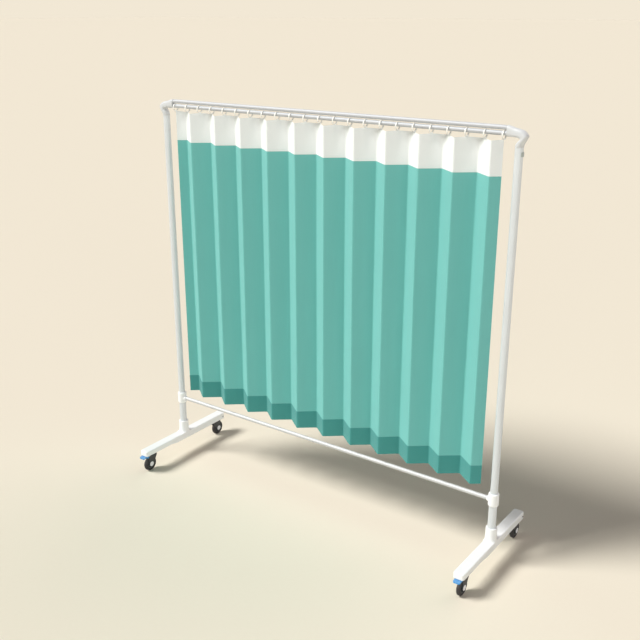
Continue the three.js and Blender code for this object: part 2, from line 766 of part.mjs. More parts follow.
function addRails() {
  const railEnd = postSpacing / 2 - lowerTubeRadius - railSocketFloor - 2 * clearance;
  const bottomRail = weld(alongX(tube(bottomRailRadius, bottomRailWall, -railEnd, railEnd, barFacets)));
  const curtainRod = weld(alongX(tube(rodRadius, rodWall, -railHalfLength, railHalfLength, barFacets)));
  place('bottom_rail', bottomRail, materials.rail, 0, 0, bottomRailZ);
  place('top_tube', topTubeGeometry(), materials.rail);
  place('curtain_rod', curtainRod, materials.rail, 0, 0, rodZ);
}

function addCasters() {
  const tyre = weld(tyreGeometry());
  const hub = weld(hubGeometry());
  const axle = weld(axleGeometry());
  const pedal = pedalGeometry();
  for (const [end, endSide] of [['front', -1], ['rear', 1]]) {
    const fork = forkGeometry(endSide < 0);
    for (const [label, side] of [['left', -1], ['right', 1]]) {
      const x = (side * postSpacing) / 2;
      const pivotY = endSide * casterPivotY;
      const wheelY = endSide * (casterPivotY + casterTrail);
      const turn = endSide < 0 ? 0 : Math.PI;
      place(`caster_fork_${end}_${label}`, fork, materials.fork, x, pivotY, 0, turn);
      place(`tyre_${end}_${label}`, tyre, materials.tyre, x, wheelY, wheelRadius);
      place(`wheel_hub_${end}_${label}`, hub, materials.fork, x, wheelY, wheelRadius);
      place(`axle_${end}_${label}`, axle, materials.cap, x, wheelY, wheelRadius);
      if (endSide < 0) place(`brake_pedal_${label}`, pedal, materials.pedal, x, pivotY);
    }
  }
}

function addCurtain() {
  const panelBottomZ = curtainBottomZ + hemHeight + clearance;
  const headerBottomZ = curtainTopZ - headerHeight;
  place('curtain_hem', clothBand(curtainBottomZ, curtainBottomZ + hemHeight), materials.hem);
  place('curtain_panel', clothBand(panelBottomZ, headerBottomZ - clearance), materials.cloth);
  place('curtain_header', clothBand(headerBottomZ, curtainTopZ), materials.header);
  const ring = ringGeometry();
  for (let i = 0; i <= pleatCount; i += 1) {
    const name = `curtain_ring_${String(i + 1).padStart(2, '0')}`;
    place(name, ring, materials.ring, -curtainSpread / 2 + i * pleatPitch, 0, ringZ);
  }
}

addUprights();
addRails();
addCasters();
addCurtain();
place('buffer_pad', bufferGeometry(), materials.buffer, postSpacing / 2);

export default screen;
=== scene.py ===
# %% [markdown]
# # A ward privacy screen on wheels
# A pleated curtain hangs from rings on a rod, between two posts that stand in wheeled feet. The
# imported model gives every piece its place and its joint. This script dresses it: each solid is
# replaced by a finer mesh in the same place, and every surface gets a finish of its own.
# Lengths are metres, +Z is up, +X runs from the left post to the right post, and the brake pedals
# are on the -Y side.

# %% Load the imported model
import math
import bmesh
import bpy
from mathutils import Matrix, Vector, noise


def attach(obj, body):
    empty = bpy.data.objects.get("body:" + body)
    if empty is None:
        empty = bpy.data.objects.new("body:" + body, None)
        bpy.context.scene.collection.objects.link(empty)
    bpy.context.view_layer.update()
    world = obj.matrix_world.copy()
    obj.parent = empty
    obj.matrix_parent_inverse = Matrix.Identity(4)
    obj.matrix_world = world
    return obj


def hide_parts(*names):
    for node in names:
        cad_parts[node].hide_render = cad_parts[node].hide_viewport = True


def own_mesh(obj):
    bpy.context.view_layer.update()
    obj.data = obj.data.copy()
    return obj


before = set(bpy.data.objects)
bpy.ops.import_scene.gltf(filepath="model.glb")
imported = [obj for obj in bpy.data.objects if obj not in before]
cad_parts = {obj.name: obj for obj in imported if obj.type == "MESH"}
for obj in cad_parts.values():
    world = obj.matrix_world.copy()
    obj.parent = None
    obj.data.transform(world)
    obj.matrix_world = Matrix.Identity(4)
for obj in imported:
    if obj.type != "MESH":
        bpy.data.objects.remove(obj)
scene = bpy.context.scene
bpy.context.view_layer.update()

# %% [markdown]
# ## Camera
# The screen is seen from its front right, from above eye level. Place, turn and lens were found by
# matching the ends of the posts, the rails and the feet. A camera without roll keeps the posts
# upright in the middle of the picture.

# %% Camera
QUARTER_TURN = math.pi / 2
CAMERA_PLACE = (2.2152, -3.0914, 2.2684)
CAMERA_AZIMUTH = math.radians(35.61)
CAMERA_PITCH = math.radians(19.31)
FOCAL_MM, SENSOR_MM = 49.95, 36


def put(name, data):
    """Puts a new object with this data into the scene."""
    obj = bpy.data.objects.new(name, data)
    scene.collection.objects.link(obj)
    return obj


lens = bpy.data.cameras.new("camera")
lens.lens = FOCAL_MM
lens.sensor_width = SENSOR_MM
camera = put("camera", lens)
camera.location = CAMERA_PLACE
camera.rotation_euler = (QUARTER_TURN - CAMERA_PITCH, 0, CAMERA_AZIMUTH)
scene.camera = camera
print("camera:", round(math.degrees(lens.angle), 1), "degrees wide, at", CAMERA_PLACE)

# %% [markdown]
# ## Light
# The shadow on the floor tells where the main light stands: high, to the left of the front. Its
# edge softens within a hand's width of the feet and spreads wide behind the curtain, so the light
# is a large one. A sun lamp with a wide angle gives this without falling off across the object. A
# second, weak one from the camera's side opens the shaded sides of the pleats, and a third, weaker
# and from the right, the shaded sides of the posts and feet. A fourth, from high behind, brightens
# the tops of the feet and leaves a faint, wide shadow on the floor in front.

# %% Lamps
def add_sun(name, towards, strength, width, colour):
    """Adds a far lamp that stands in the direction towards and looks width degrees wide."""
    lamp = bpy.data.lights.new(name, "SUN")
    lamp.energy = strength
    lamp.angle = math.radians(width)
    lamp.color = colour
    put(name, lamp).rotation_euler = Vector(towards).to_track_quat("Z", "Y").to_euler()


add_sun("key_light", (-0.4935, -0.4634, 0.7361), 3.38, 20, (1, 0.995, 0.985))
add_sun("fill_light", (0.577, -0.807, 0.07), 1.28, 60, (0.95, 0.98, 1.02))
add_sun("side_light", (0.99, -0.09, 0.09), 0.55, 70, (1, 0.99, 0.98))
add_sun("back_light", (0.2122, 0.7255, 0.6547), 0.80, 54, (1, 0.90, 0.93))
print("lamps:", [lamp.name for lamp in bpy.data.lights])

# %% [markdown]
# ## Surroundings
# The world lights the object evenly and weakly. Seen directly, in a reflection or through
# something, it is the pale cream of the background instead, which the Light Path node picks out.
# One colour for both would be simpler, but would wash out the shadow.

# %% World
CREAM = (0.888, 0.807, 0.665, 1)
EVEN_LIGHT, EVEN_STRENGTH = (0.95, 0.98, 1, 1), 0.015
scene.view_settings.view_transform = "Standard"
world = bpy.data.worlds.new("pale_surroundings")
world.use_nodes = True
scene.world = world


def add_node(tree, kind, inputs=None, **settings):
    """Adds a node. An input is either a value or the socket that feeds it."""
    node = tree.nodes.new(kind)
    for key, value in settings.items():
        setattr(node, key, value)
    for key, value in (inputs or {}).items():
        if isinstance(value, bpy.types.NodeSocket):
            tree.links.new(value, node.inputs[key])
        else:
            node.inputs[key].default_value = value
    return node


def maths(tree, operation, first, second=0.0, third=0.0, clamp=False):
    node = add_node(tree, "ShaderNodeMath", {0: first, 1: second, 2: third}, operation=operation)
    node.use_clamp = clamp
    return node.outputs[0]


sky = world.node_tree
sky.nodes.clear()
path = add_node(sky, "ShaderNodeLightPath").outputs
seen = maths(sky, "MAXIMUM", path["Is Camera Ray"], path["Is Glossy Ray"])
seen = maths(sky, "MAXIMUM", seen, path["Is Transmission Ray"])
even = add_node(sky, "ShaderNodeBackground", {"Color": EVEN_LIGHT, "Strength": EVEN_STRENGTH})
shown = add_node(sky, "ShaderNodeBackground", {"Color": CREAM, "Strength": 1})
mixed = add_node(sky, "ShaderNodeMixShader", {0: seen, 1: even.outputs[0], 2: shown.outputs[0]})
add_node(sky, "ShaderNodeOutputWorld", {"Surface": mixed.outputs[0]})
print("world: even light", EVEN_STRENGTH, "and", [round(channel, 2) for channel in CREAM[:3]])

# %% [markdown]
# ## Floor
# A plain matt studio floor in the same cream. It reaches far behind the object, so that it runs
# over into the background without a visible edge. Its fine grit is nearly the same tone.

# %% Floor
FLOOR_REACH = 200
GRITS_PER_METRE = 60.0
DARK_CREAM, PALE_CREAM = (0.829, 0.762, 0.624, 1), (0.844, 0.777, 0.639, 1)


def new_material(name):
    material = bpy.data.materials.new(name)
    material.use_nodes = True
    tree = material.node_tree
    tree.nodes.clear()
    return material, tree


def clouds(tree, place, scale, detail):
    """Soft random values round one half; scale is about how many of them lie along a metre."""
    node = add_node(tree, "ShaderNodeTexNoise", {"Vector": place, "Scale": scale, "Detail": detail})
    return node.outputs["Fac"]


def blended(tree, factor, first, second):
    node = add_node(tree, "ShaderNodeMix", {"Factor": factor, 6: first, 7: second},
                    data_type="RGBA")
    return node.outputs[2]


floor_paint, tree = new_material("floor_paint")
place = add_node(tree, "ShaderNodeTexCoord").outputs["Object"]
grit = clouds(tree, place, scale=GRITS_PER_METRE, detail=2)
tone = blended(tree, grit, DARK_CREAM, PALE_CREAM)
matt = add_node(tree, "ShaderNodeBsdfPrincipled", {"Base Color": tone, "Roughness": 1,
                                                   "Specular IOR Level": 0})
add_node(tree, "ShaderNodeOutputMaterial", {"Surface": matt.outputs[0]})
floor_mesh = bpy.data.meshes.new("floor")
floor_mesh.from_pydata([(x * FLOOR_REACH, y * FLOOR_REACH, 0)
                        for x, y in ((-1, -1), (1, -1), (1, 1), (-1, 1))], [], [(0, 1, 2, 3)])
floor_mesh.materials.append(floor_paint)
floor = put("floor", floor_mesh)
print("floor:", [round(x) for x in floor.dimensions], "m")

# %% [markdown]
# ## Effects that several finishes share
# Moulded plastic, enamel and rubber all show the same few things at different strengths: a slow
# change of tone, a fine grain, paler worn edges and dust on what faces up. Painted pictures could
# show them too, but would stretch on these shapes. So each effect is a node group with named
# inputs, made once. The shader itself stays in each material.

# %% Group builder
def add_inputs(tree, inputs):
    """Names a group's inputs: a label, a kind, and the value that holds if nothing feeds it."""
    for label, kind, value in inputs:
        socket = tree.interface.new_socket(label, in_out="INPUT", socket_type=f"NodeSocket{kind}")
        if value is not None:
            socket.default_value = value


def new_group(name, inputs):
    group = bpy.data.node_groups.new(name, "ShaderNodeTree")
    add_inputs(group, inputs)
    return group, group.nodes.new("NodeGroupInput").outputs


def deliver(group, results):
    """Gives the group one output for each result."""
    for label in results:
        group.interface.new_socket(label, in_out="OUTPUT", socket_type="NodeSocketFloat")
    leave = group.nodes.new("NodeGroupOutput")
    for label, socket in results.items():
        group.links.new(socket, leave.inputs[label])


def ramp(tree, value, low, high, most=1.0):
    """Goes evenly from 0, where the value is low, to most, where it is high, and stops there."""
    node = add_node(tree, "ShaderNodeMapRange", {"Value": value, "From Min": low, "From Max": high,
                                                 "To Max": most})
    return node.outputs[0]


# %% Moulded grain: slow tone and fine bumps
grain_group, given = new_group("moulded_grain", [
    ("Place", "Vector", None), ("Grains per metre", "Float", 900),
    ("Patches per metre", "Float", 12)])
deliver(grain_group, {
    "Tone": clouds(grain_group, given["Place"], given["Patches per metre"], detail=3),
    "Height": clouds(grain_group, given["Place"], given["Grains per metre"], detail=2)})

# %% Edge wear: the convex edges, broken up
wear_group, given = new_group("edge_wear", [
    ("Place", "Vector", None), ("Amount", "Float", 0.5), ("Breaks per metre", "Float", 160)])
shape = add_node(wear_group, "ShaderNodeNewGeometry").outputs
edges = ramp(wear_group, shape["Pointiness"], low=0.52, high=0.6)
breaks = clouds(wear_group, given["Place"], given["Breaks per metre"], detail=4)
worn = maths(wear_group, "MULTIPLY", edges, ramp(wear_group, breaks, low=0.42, high=0.66))
deliver(wear_group, {"Mask": maths(wear_group, "MULTIPLY", worn, given["Amount"], clamp=True)})

# %% Settled dust: what faces up, near the floor
dust_group, given = new_group("settled_dust", [
    ("Place", "Vector", None), ("Amount", "Float", 0.3), ("Reaches up to", "Float", 0.3)])
shape = add_node(dust_group, "ShaderNodeNewGeometry").outputs
facing = add_node(dust_group, "ShaderNodeSeparateXYZ", {0: shape["Normal"]}).outputs
level = add_node(dust_group, "ShaderNodeSeparateXYZ", {0: given["Place"]}).outputs
upward = ramp(dust_group, facing["Z"], low=0.2, high=1)
near_floor = ramp(dust_group, level["Z"], low=given["Reaches up to"], high=0.0)
cloud = clouds(dust_group, given["Place"], scale=45.0, detail=5)
dusty = maths(dust_group, "MULTIPLY", maths(dust_group, "MULTIPLY", upward, near_floor), cloud)
deliver(dust_group, {"Mask": maths(dust_group, "MULTIPLY", dusty, given["Amount"], clamp=True)})
print("shared effects:", [group.name for group in bpy.data.node_groups])

# %% [markdown]
# ## Hard finishes
# Enamel, plastic, rubber and steel could each have nodes of their own. Here they are the same chain
# with other values: a base colour that is mottled, lightened where the edges are worn and dulled
# where dust lies, with a fine grain as a bump. Steel also gets lines along the bar, from the way it
# was polished.

# %% Finish builder
DUST_COLOUR, DUST_ROUGHNESS = (0.42, 0.39, 0.34, 1), 0.4
ROUGHNESS_SPREAD, COAT_ROUGHNESS = 0.12, 0.12
POLISHING_LINES = (0.02, 1, 1)


def use_group(tree, group, inputs):
    return add_node(tree, "ShaderNodeGroup", inputs, node_tree=group).outputs


def shaded(colour, share):
    return tuple(min(1.0, channel * share) for channel in colour) + (1.0,)


def close_material(tree, height, depth, strength, inputs):
    """Every finish ends alike: a bump, the shader and the output."""
    bump = add_node(tree, "ShaderNodeBump", {"Height": height, "Distance": depth,
                                             "Strength": strength})
    shader = add_node(tree, "ShaderNodeBsdfPrincipled", {**inputs, "Normal": bump.outputs[0]})
    add_node(tree, "ShaderNodeOutputMaterial", {"Surface": shader.outputs[0]})


def hard_finish(name, colour, roughness, metallic=0.0, mottle=0.04, grain=900.0, depth=0.00002,
                wear=0.4, worn=(0.9, 0.9, 0.88), dust=0.2, coat=0.0, lines=False):
    material, tree = new_material(name)
    where = add_node(tree, "ShaderNodeTexCoord").outputs["Object"]
    along = where
    if lines:
        stretch = add_node(tree, "ShaderNodeMapping", {"Vector": where, "Scale": POLISHING_LINES})
        along = stretch.outputs[0]
    surface = use_group(tree, grain_group, {"Place": along, "Grains per metre": grain})
    base = blended(tree, surface["Tone"], shaded(colour, 1 - mottle), shaded(colour, 1 + mottle))
    rubbed = use_group(tree, wear_group, {"Place": where, "Amount": wear})["Mask"]
    base = blended(tree, rubbed, base, worn + (1.0,))
    settled = use_group(tree, dust_group, {"Place": where, "Amount": dust})["Mask"]
    base = blended(tree, settled, base, DUST_COLOUR)
    spread = maths(tree, "MULTIPLY_ADD", surface["Tone"], ROUGHNESS_SPREAD,
                   roughness - ROUGHNESS_SPREAD / 2)
    rough = maths(tree, "MULTIPLY_ADD", settled, DUST_ROUGHNESS, spread, clamp=True)
    close_material(tree, surface["Height"], depth, 1.0, {
        "Base Color": base, "Roughness": rough, "Metallic": metallic, "Coat Weight": coat,
        "Coat Roughness": COAT_ROUGHNESS})
    return material


# %% Finishes of the frame
POLISHED = {"metallic": 0.25, "mottle": 0.05, "grain": 2200, "depth": 0.000012, "wear": 0.1,
            "dust": 0.05, "lines": True}
white_enamel = hard_finish("white_enamel", (0.94, 0.96, 0.955), 0.34, coat=0.25, grain=420,
                           mottle=0.02, depth=0.00004, wear=0.3, worn=(0.95, 0.95, 0.94), dust=0.1)
post_enamel = hard_finish("post_enamel", (0.70, 0.745, 0.775), 0.50, metallic=0.35, mottle=0.03,
                          grain=500, wear=0.2, dust=0.08)
rail_steel = hard_finish("rail_steel", (0.53, 0.55, 0.575), 0.62, **POLISHED)
# Painted light: a lighter copy of the rail steel for the bottom rail, which stands in for the
# brighter light on that rail.
rail_steel_painted_lighter = hard_finish("rail_steel_painted_lighter", (0.59, 0.605, 0.61), 0.52, **POLISHED)
fitting_plastic = hard_finish("fitting_plastic", (0.66, 0.68, 0.69), 0.40, grain=1400, wear=0.35,
                              dust=0.0)
buffer_rubber = hard_finish("buffer_rubber", (0.44, 0.49, 0.47), 0.6, mottle=0.06, grain=1600,
                            depth=0.00004, wear=0.3, worn=(0.55, 0.58, 0.57), dust=0.0)
screw_steel = hard_finish("screw_steel", (0.05, 0.05, 0.055), 0.35, metallic=0.6, grain=2600,
                          wear=0.2, worn=(0.3, 0.3, 0.3), dust=0.1)

# %% Finishes of the casters and rings
tyre_rubber = hard_finish("tyre_rubber", (0.028, 0.026, 0.028), 0.62, mottle=0.25, grain=1500,
                          depth=0.00004, wear=0.5, worn=(0.10, 0.10, 0.10), dust=0.5)
caster_plastic = hard_finish("caster_plastic", (0.05, 0.055, 0.057), 0.42, mottle=0.15,
                             grain=1300, depth=0.00003, wear=0.5, worn=(0.18, 0.18, 0.18), dust=0.3)
cap_plastic = hard_finish("cap_plastic", (0.88, 0.88, 0.89), 0.35, grain=1200, wear=0.3, dust=0.1)
pedal_plastic = hard_finish("pedal_plastic", (0.055, 0.30, 0.66), 0.34, mottle=0.08, grain=1200,
                            wear=0.6, worn=(0.35, 0.58, 0.82), dust=0.25)
ring_plastic = hard_finish("ring_plastic", (0.90, 0.89, 0.84), 0.32, grain=2000, wear=0.2,
                           dust=0.0)
print("materials so far:", len(bpy.data.materials))

# %% [markdown]
# ## Mesh helpers
# Nearly every rigid piece is turned, skinned between outlines, or cut out of another. Blender's
# Screw and Extrude tools could do this by hand. A few small functions that make the corners and
# faces keep every size in view. Corners of every profile are rounded, because a real edge catches a
# line of light that a sharp one never does.

# %% Rounding a line, and lines that several pieces use
def rounded(points, radius, steps=3, closed=False):
    """Replaces each corner of a flat line by a short arc."""
    count = len(points)
    line = []
    for i, point in enumerate(points):
        here = Vector(point)
        if not closed and i in (0, count - 1):
            line.append(here)
            continue
        before = Vector(points[i - 1]) - here
        after = Vector(points[(i + 1) % count]) - here
        reach = min(radius, before.length * 0.45, after.length * 0.45)
        start, end = here + before.normalized() * reach, here + after.normalized() * reach
        for k in range(steps + 1):
            t = k / steps
            line.append(start * (1 - t) ** 2 + here * 2 * t * (1 - t) + end * t * t)
    return [tuple(point) for point in line]


def arc(x, y, radius, start, end, steps):
    angles = [start + (end - start) * i / steps for i in range(steps + 1)]
    return [(x + radius * math.cos(angle), y + radius * math.sin(angle)) for angle in angles]


def oblong(half, low, high):
    return [(half, high), (-half, high), (-half, low), (half, low)]


def mirrored(profile):
    return [(radius, -height) for radius, height in profile[::-1]]


# %% Turning a profile and skinning loops
def turned(profile, facets=48, ring=False):
    """Turns [radius, height] points about Z. A ring closes from its last point to its first."""
    corners, rows, faces = [], [], []
    for radius, height in profile:
        on_axis = radius < 1e-7
        row = [len(corners) + i for i in range(1 if on_axis else facets)]
        for i in range(len(row)):
            angle = 2 * math.pi * i / facets
            corners.append(Vector((radius * math.cos(angle), radius * math.sin(angle), height)))
        rows.append(row)
    for low, high in list(zip(rows, rows[1:])) + ([(rows[-1], rows[0])] if ring else []):
        for i in range(facets):
            four = [low[i % len(low)], low[(i + 1) % len(low)],
                    high[(i + 1) % len(high)], high[i % len(high)]]
            face = [c for k, c in enumerate(four) if c not in four[:k]]
            if len(face) > 2:
                faces.append(face)
    return corners, faces


def skinned(loops):
    """Skins closed loops that share their number of points, and closes both ends."""
    count = len(loops[0])
    corners = [Vector(point) for loop in loops for point in loop]
    faces = []
    for level in range(len(loops) - 1):
        for i in range(count):
            a, b = level * count + i, level * count + (i + 1) % count
            faces.append([a, b, b + count, a + count])
    faces.append(list(range(count))[::-1])
    faces.append([(len(loops) - 1) * count + i for i in range(count)])
    return corners, faces


def across_x(outline, width, x=0.0):
    return skinned([[(x + w, y, z) for y, z in outline] for w in (-width / 2, width / 2)])


def upwards(outline, start, end):
    return skinned([[(x, y, z) for x, y in outline] for z in (start, end)])


# %% Moving parts, and round bars
TO_X = Matrix.Rotation(QUARTER_TURN, 4, "Y")


def moved(part, matrix):
    corners, faces = part
    return [matrix @ corner for corner in corners], faces


def shifted(part, x=0.0, y=0.0, z=0.0):
    return moved(part, Matrix.Translation((x, y, z)))


def rod(radius, start, end, bevel=0.0, facets=48):
    profile = [(0, start), (radius, start), (radius, end), (0, end)]
    return turned(rounded(profile, bevel) if bevel else profile, facets)


def rod_along_x(radius, start, end, facets=48, y=0.0, z=0.0):
    return shifted(moved(rod(radius, start, end, 0, facets), TO_X), y=y, z=z)


# %% Making an object of a part, and cutting it
def new_piece(name, part, material):
    mesh = bpy.data.meshes.new(name)
    mesh.from_pydata([tuple(corner) for corner in part[0]], [], part[1])
    work = bmesh.new()
    work.from_mesh(mesh)
    bmesh.ops.remove_doubles(work, verts=work.verts, dist=1e-7)
    bmesh.ops.recalc_face_normals(work, faces=work.faces)
    work.to_mesh(mesh)
    work.free()
    mesh.materials.append(material)
    return put(name, mesh)


def settle(piece):
    """Turns a piece with its modifiers into a plain mesh."""
    bpy.context.view_layer.update()
    graph = bpy.context.evaluated_depsgraph_get()
    mesh = bpy.data.meshes.new_from_object(piece.evaluated_get(graph))
    piece.modifiers.clear()
    piece.data = mesh
    return piece


def carve(piece, tools):
    """Adds or cuts closed parts, one by one: tools are (operation of the modifier, part)."""
    for operation, part in tools:
        tool = new_piece("tool", part, piece.data.materials[0])
        step = piece.modifiers.new("carve", "BOOLEAN")
        step.operation = operation
        step.solver = "EXACT"
        step.object = tool
        settle(piece)
        bpy.data.objects.remove(tool)
    return piece


def taken_apart(piece):
    """Takes a helper piece out of the scene and keeps its corners and faces as a part."""
    part = ([corner.co.copy() for corner in piece.data.vertices],
            [list(face.vertices) for face in piece.data.polygons])
    bpy.data.objects.remove(piece)
    return part


# %% Shading a piece and handing it over
FRAME = "screen_frame"


def smooth_faces(mesh, sharp):
    """Rounds the shading over every edge that bends less than sharp degrees."""
    mesh.polygons.foreach_set("use_smooth", [True] * len(mesh.polygons))
    mesh.set_sharp_from_angle(angle=math.radians(sharp))


def smooth_shading(piece, sharp=35, bevel=0.0):
    """Keeps flat faces flat and rounds the shading of curved ones; bevel softens hard edges."""
    smooth_faces(piece.data, sharp)
    if bevel:
        edge = piece.modifiers.new("bevel", "BEVEL")
        edge.width = bevel
        edge.segments = 2
        edge.limit_method = "ANGLE"
        edge.angle_limit = math.radians(sharp)
        edge.harden_normals = True
    weight = piece.modifiers.new("weight", "WEIGHTED_NORMAL")
    weight.keep_sharp = True
    return settle(piece)


def hand_over(piece, body, node=None):
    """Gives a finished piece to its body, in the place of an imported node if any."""
    if node:
        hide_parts(node)
    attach(piece, body)
    return piece


def describe(piece):
    print(piece.name, len(piece.data.polygons), "faces,", [round(x, 4) for x in piece.dimensions])


# %% [markdown]
# ## Repeats grown by node trees
# Ribs, hub webs, rings, ring tapes and stitches repeat one small shape along a line. A Geometry
# Nodes tree states such a row once, with its sizes as named inputs. The modifier is evaluated,
# turned into a plain mesh and taken off again, because other programs don't know such trees.

# %% Tree builder
def new_tree(name, inputs):
    tree = bpy.data.node_groups.new(name, "GeometryNodeTree")
    add_inputs(tree, [("Geometry", "Geometry", None), *inputs, ("Finish", "Material", None)])
    tree.interface.new_socket("Geometry", in_out="OUTPUT", socket_type="NodeSocketGeometry")
    return tree, tree.nodes.new("NodeGroupInput").outputs


def box(tree, x, y, z):
    size = add_node(tree, "ShaderNodeCombineXYZ", {0: x, 1: y, 2: z})
    return add_node(tree, "GeometryNodeMeshCube", {"Size": size.outputs[0]}).outputs[0]


def repeated(tree, shape, points, **turn):
    """One copy of the shape at each point; Rotation turns them."""
    inputs = {"Points": points, "Instance": shape, **turn}
    return add_node(tree, "GeometryNodeInstanceOnPoints", inputs).outputs[0]


def close_tree(tree, given, instances):
    """Every tree ends alike: real meshes with their finish."""
    real = add_node(tree, "GeometryNodeRealizeInstances", {0: instances})
    finish = add_node(tree, "GeometryNodeSetMaterial", {"Geometry": real.outputs[0],
                                                        "Material": given["Finish"]})
    leave = tree.nodes.new("NodeGroupOutput")
    tree.links.new(finish.outputs[0], leave.inputs[0])


# %% Growing a tree into a piece
GROWN_SHARP = 40


def grown(name, tree, finish, values, source=None):
    """Evaluates a tree on an empty mesh, or on a source mesh, and keeps the plain result."""
    piece = put(name, source if source else bpy.data.meshes.new(name))
    step = piece.modifiers.new("grow", "NODES")
    step.node_group = tree
    values = {**values, "Finish": finish}
    for item in tree.interface.items_tree:
        if item.item_type == "SOCKET" and item.in_out == "INPUT" and item.name in values:
            step[item.identifier] = values[item.name]
    settle(piece)
    smooth_faces(piece.data, GROWN_SHARP)
    return piece


# %% [markdown]
# ## Feet
# Each foot is one enamelled casting: a long flat shell, hollow below, with a round boss that grips
# the lower tube. Its front half is raised a little, which leaves room for the brake pedal. Such a
# form could be modelled from a box with loops and bevels. Here outlines are skinned with a true
# round edge, and the boss, the hollow and the sockets are joined or cut with booleans, because that
# is how the casting's own mould is divided.

# %% Foot sizes and outline
SIDES = (("left", -1), ("right", 1))
POST_X = 0.900
FOOT_LENGTH, FOOT_WIDTH, FOOT_CORNER = 0.600, 0.050, 0.013
FOOT_BOTTOM, FOOT_TOP = 0.088, 0.122
FOOT_FRONT_BOTTOM = 0.096
FOOT_EDGE, FOOT_RIM = 0.005, 0.0010
FOOT_WALL, FOOT_ROOF = 0.0035, 0.004
PLAY = 0.0003
OVERRUN, CUT_MARGIN = 0.002, 0.010


def at_post(side):
    return Matrix.Translation((side * POST_X, 0, 0))


def foot_outline(inset, z):
    x, y = FOOT_WIDTH / 2 - inset, FOOT_LENGTH / 2 - inset
    corners = rounded(oblong(x, -y, y), radius=FOOT_CORNER - inset, steps=8, closed=True)
    return [(cx, cy, z) for cx, cy in corners]


def foot_shell():
    rim = [(FOOT_RIM, FOOT_BOTTOM), (FOOT_RIM * 0.3, FOOT_BOTTOM + FOOT_RIM * 0.3),
           (0.0, FOOT_BOTTOM + FOOT_RIM)]
    edge = [(-x, FOOT_TOP + y) for x, y in arc(-FOOT_EDGE, -FOOT_EDGE, FOOT_EDGE, 0,
                                               QUARTER_TURN, 8)]
    return skinned([foot_outline(inset, z) for inset, z in rim + edge])


# %% Hollow and front half
RELIEF_START, RELIEF_LENGTH = -0.070, 0.060
RELIEF_END = -FOOT_LENGTH / 2 - CUT_MARGIN
HOLLOW_CORNER = 0.002


def foot_hollow():
    roof = FOOT_TOP - FOOT_ROOF
    return skinned([foot_outline(FOOT_WALL, FOOT_BOTTOM - OVERRUN),
                    foot_outline(FOOT_WALL, roof - HOLLOW_CORNER),
                    foot_outline(FOOT_WALL + HOLLOW_CORNER, roof)])


def front_relief():
    """Cuts the raised underside of the front half, with a smooth step ahead of the boss."""
    line = [(RELIEF_END, FOOT_BOTTOM - OVERRUN), (RELIEF_START, FOOT_BOTTOM - OVERRUN)]
    for i in range(17):
        t = i / 16
        ease = t * t * (3 - 2 * t)
        line.append((RELIEF_START - RELIEF_LENGTH * t,
                     FOOT_BOTTOM + (FOOT_FRONT_BOTTOM - FOOT_BOTTOM) * ease))
    line.append((RELIEF_END, FOOT_FRONT_BOTTOM))
    return across_x(line, FOOT_WIDTH + CUT_MARGIN)


# %% Boss
BOSS_TOP, BOSS_RADIUS, BOSS_TOP_RADIUS = 0.185, 0.0256, 0.0243
BOSS_FLARE, BOSS_ROOT = 0.009, 0.003
CORE_RADIUS, CORE_SETBACK = 0.0226, 0.0005
LOWER_RADIUS = 0.0175
TUBE_SEAT_Z = 0.104


def foot_boss():
    low = FOOT_TOP - BOSS_ROOT
    wide = BOSS_RADIUS + BOSS_FLARE
    flare = [(wide + x, FOOT_TOP + BOSS_FLARE + y)
             for x, y in arc(0, 0, BOSS_FLARE, -QUARTER_TURN, -math.pi, 10)]
    crown = rounded([flare[-1], (BOSS_TOP_RADIUS, BOSS_TOP), (0, BOSS_TOP)], radius=0.002, steps=5)
    return turned([(0, low), (wide, low)] + flare + crown[1:], facets=96)


def boss_within_foot(finish):
    """The flare would reach past the foot's sides, so only what stands above it is kept."""
    boss = new_piece("boss", foot_boss(), finish)
    slab = skinned([foot_outline(0.0, z) for z in (FOOT_BOTTOM, BOSS_TOP + OVERRUN)])
    return taken_apart(carve(boss, [("INTERSECT", slab)]))


# %% The whole foot
CASTER_Y = 0.236
SOCKET_RADIUS, SOCKET_SINK, STEM_RADIUS = 0.010, 0.002, 0.005
STEM_BORE = (0.08, 0.112)
SCREW_Y, SCREW_Z, SCREW_RADIUS, SCREW_BORE_DEPTH = 0.284, 0.102, 0.002, 0.006


def make_foot(label, side, finish):
    core = rod(CORE_RADIUS, FOOT_BOTTOM + CORE_SETBACK, FOOT_TOP - CORE_SETBACK)
    tools = [("DIFFERENCE", foot_hollow()), ("DIFFERENCE", front_relief()),
             ("UNION", boss_within_foot(finish)), ("UNION", core)]
    for y in (-CASTER_Y, CASTER_Y):
        socket = rod(SOCKET_RADIUS, FOOT_BOTTOM, FOOT_TOP - SOCKET_SINK)
        tools.append(("UNION", shifted(socket, y=y)))
        tools.append(("DIFFERENCE", shifted(rod(STEM_RADIUS + PLAY, *STEM_BORE), y=y)))
    tube_bore = rod(LOWER_RADIUS + PLAY, TUBE_SEAT_Z, BOSS_TOP + OVERRUN, facets=96)
    screw_bore = rod_along_x(SCREW_RADIUS + PLAY, -SCREW_BORE_DEPTH, OVERRUN, 24, SCREW_Y, SCREW_Z)
    tools += [("DIFFERENCE", tube_bore), ("DIFFERENCE", shifted(screw_bore, FOOT_WIDTH / 2))]
    foot = carve(new_piece(f"foot_shell_{label}", foot_shell(), finish), tools)
    smooth_shading(foot, sharp=32)
    foot.data.transform(at_post(side))
    return hand_over(foot, FRAME, f"foot_{label}")


for label, side in SIDES:
    describe(make_foot(label, side, white_enamel))

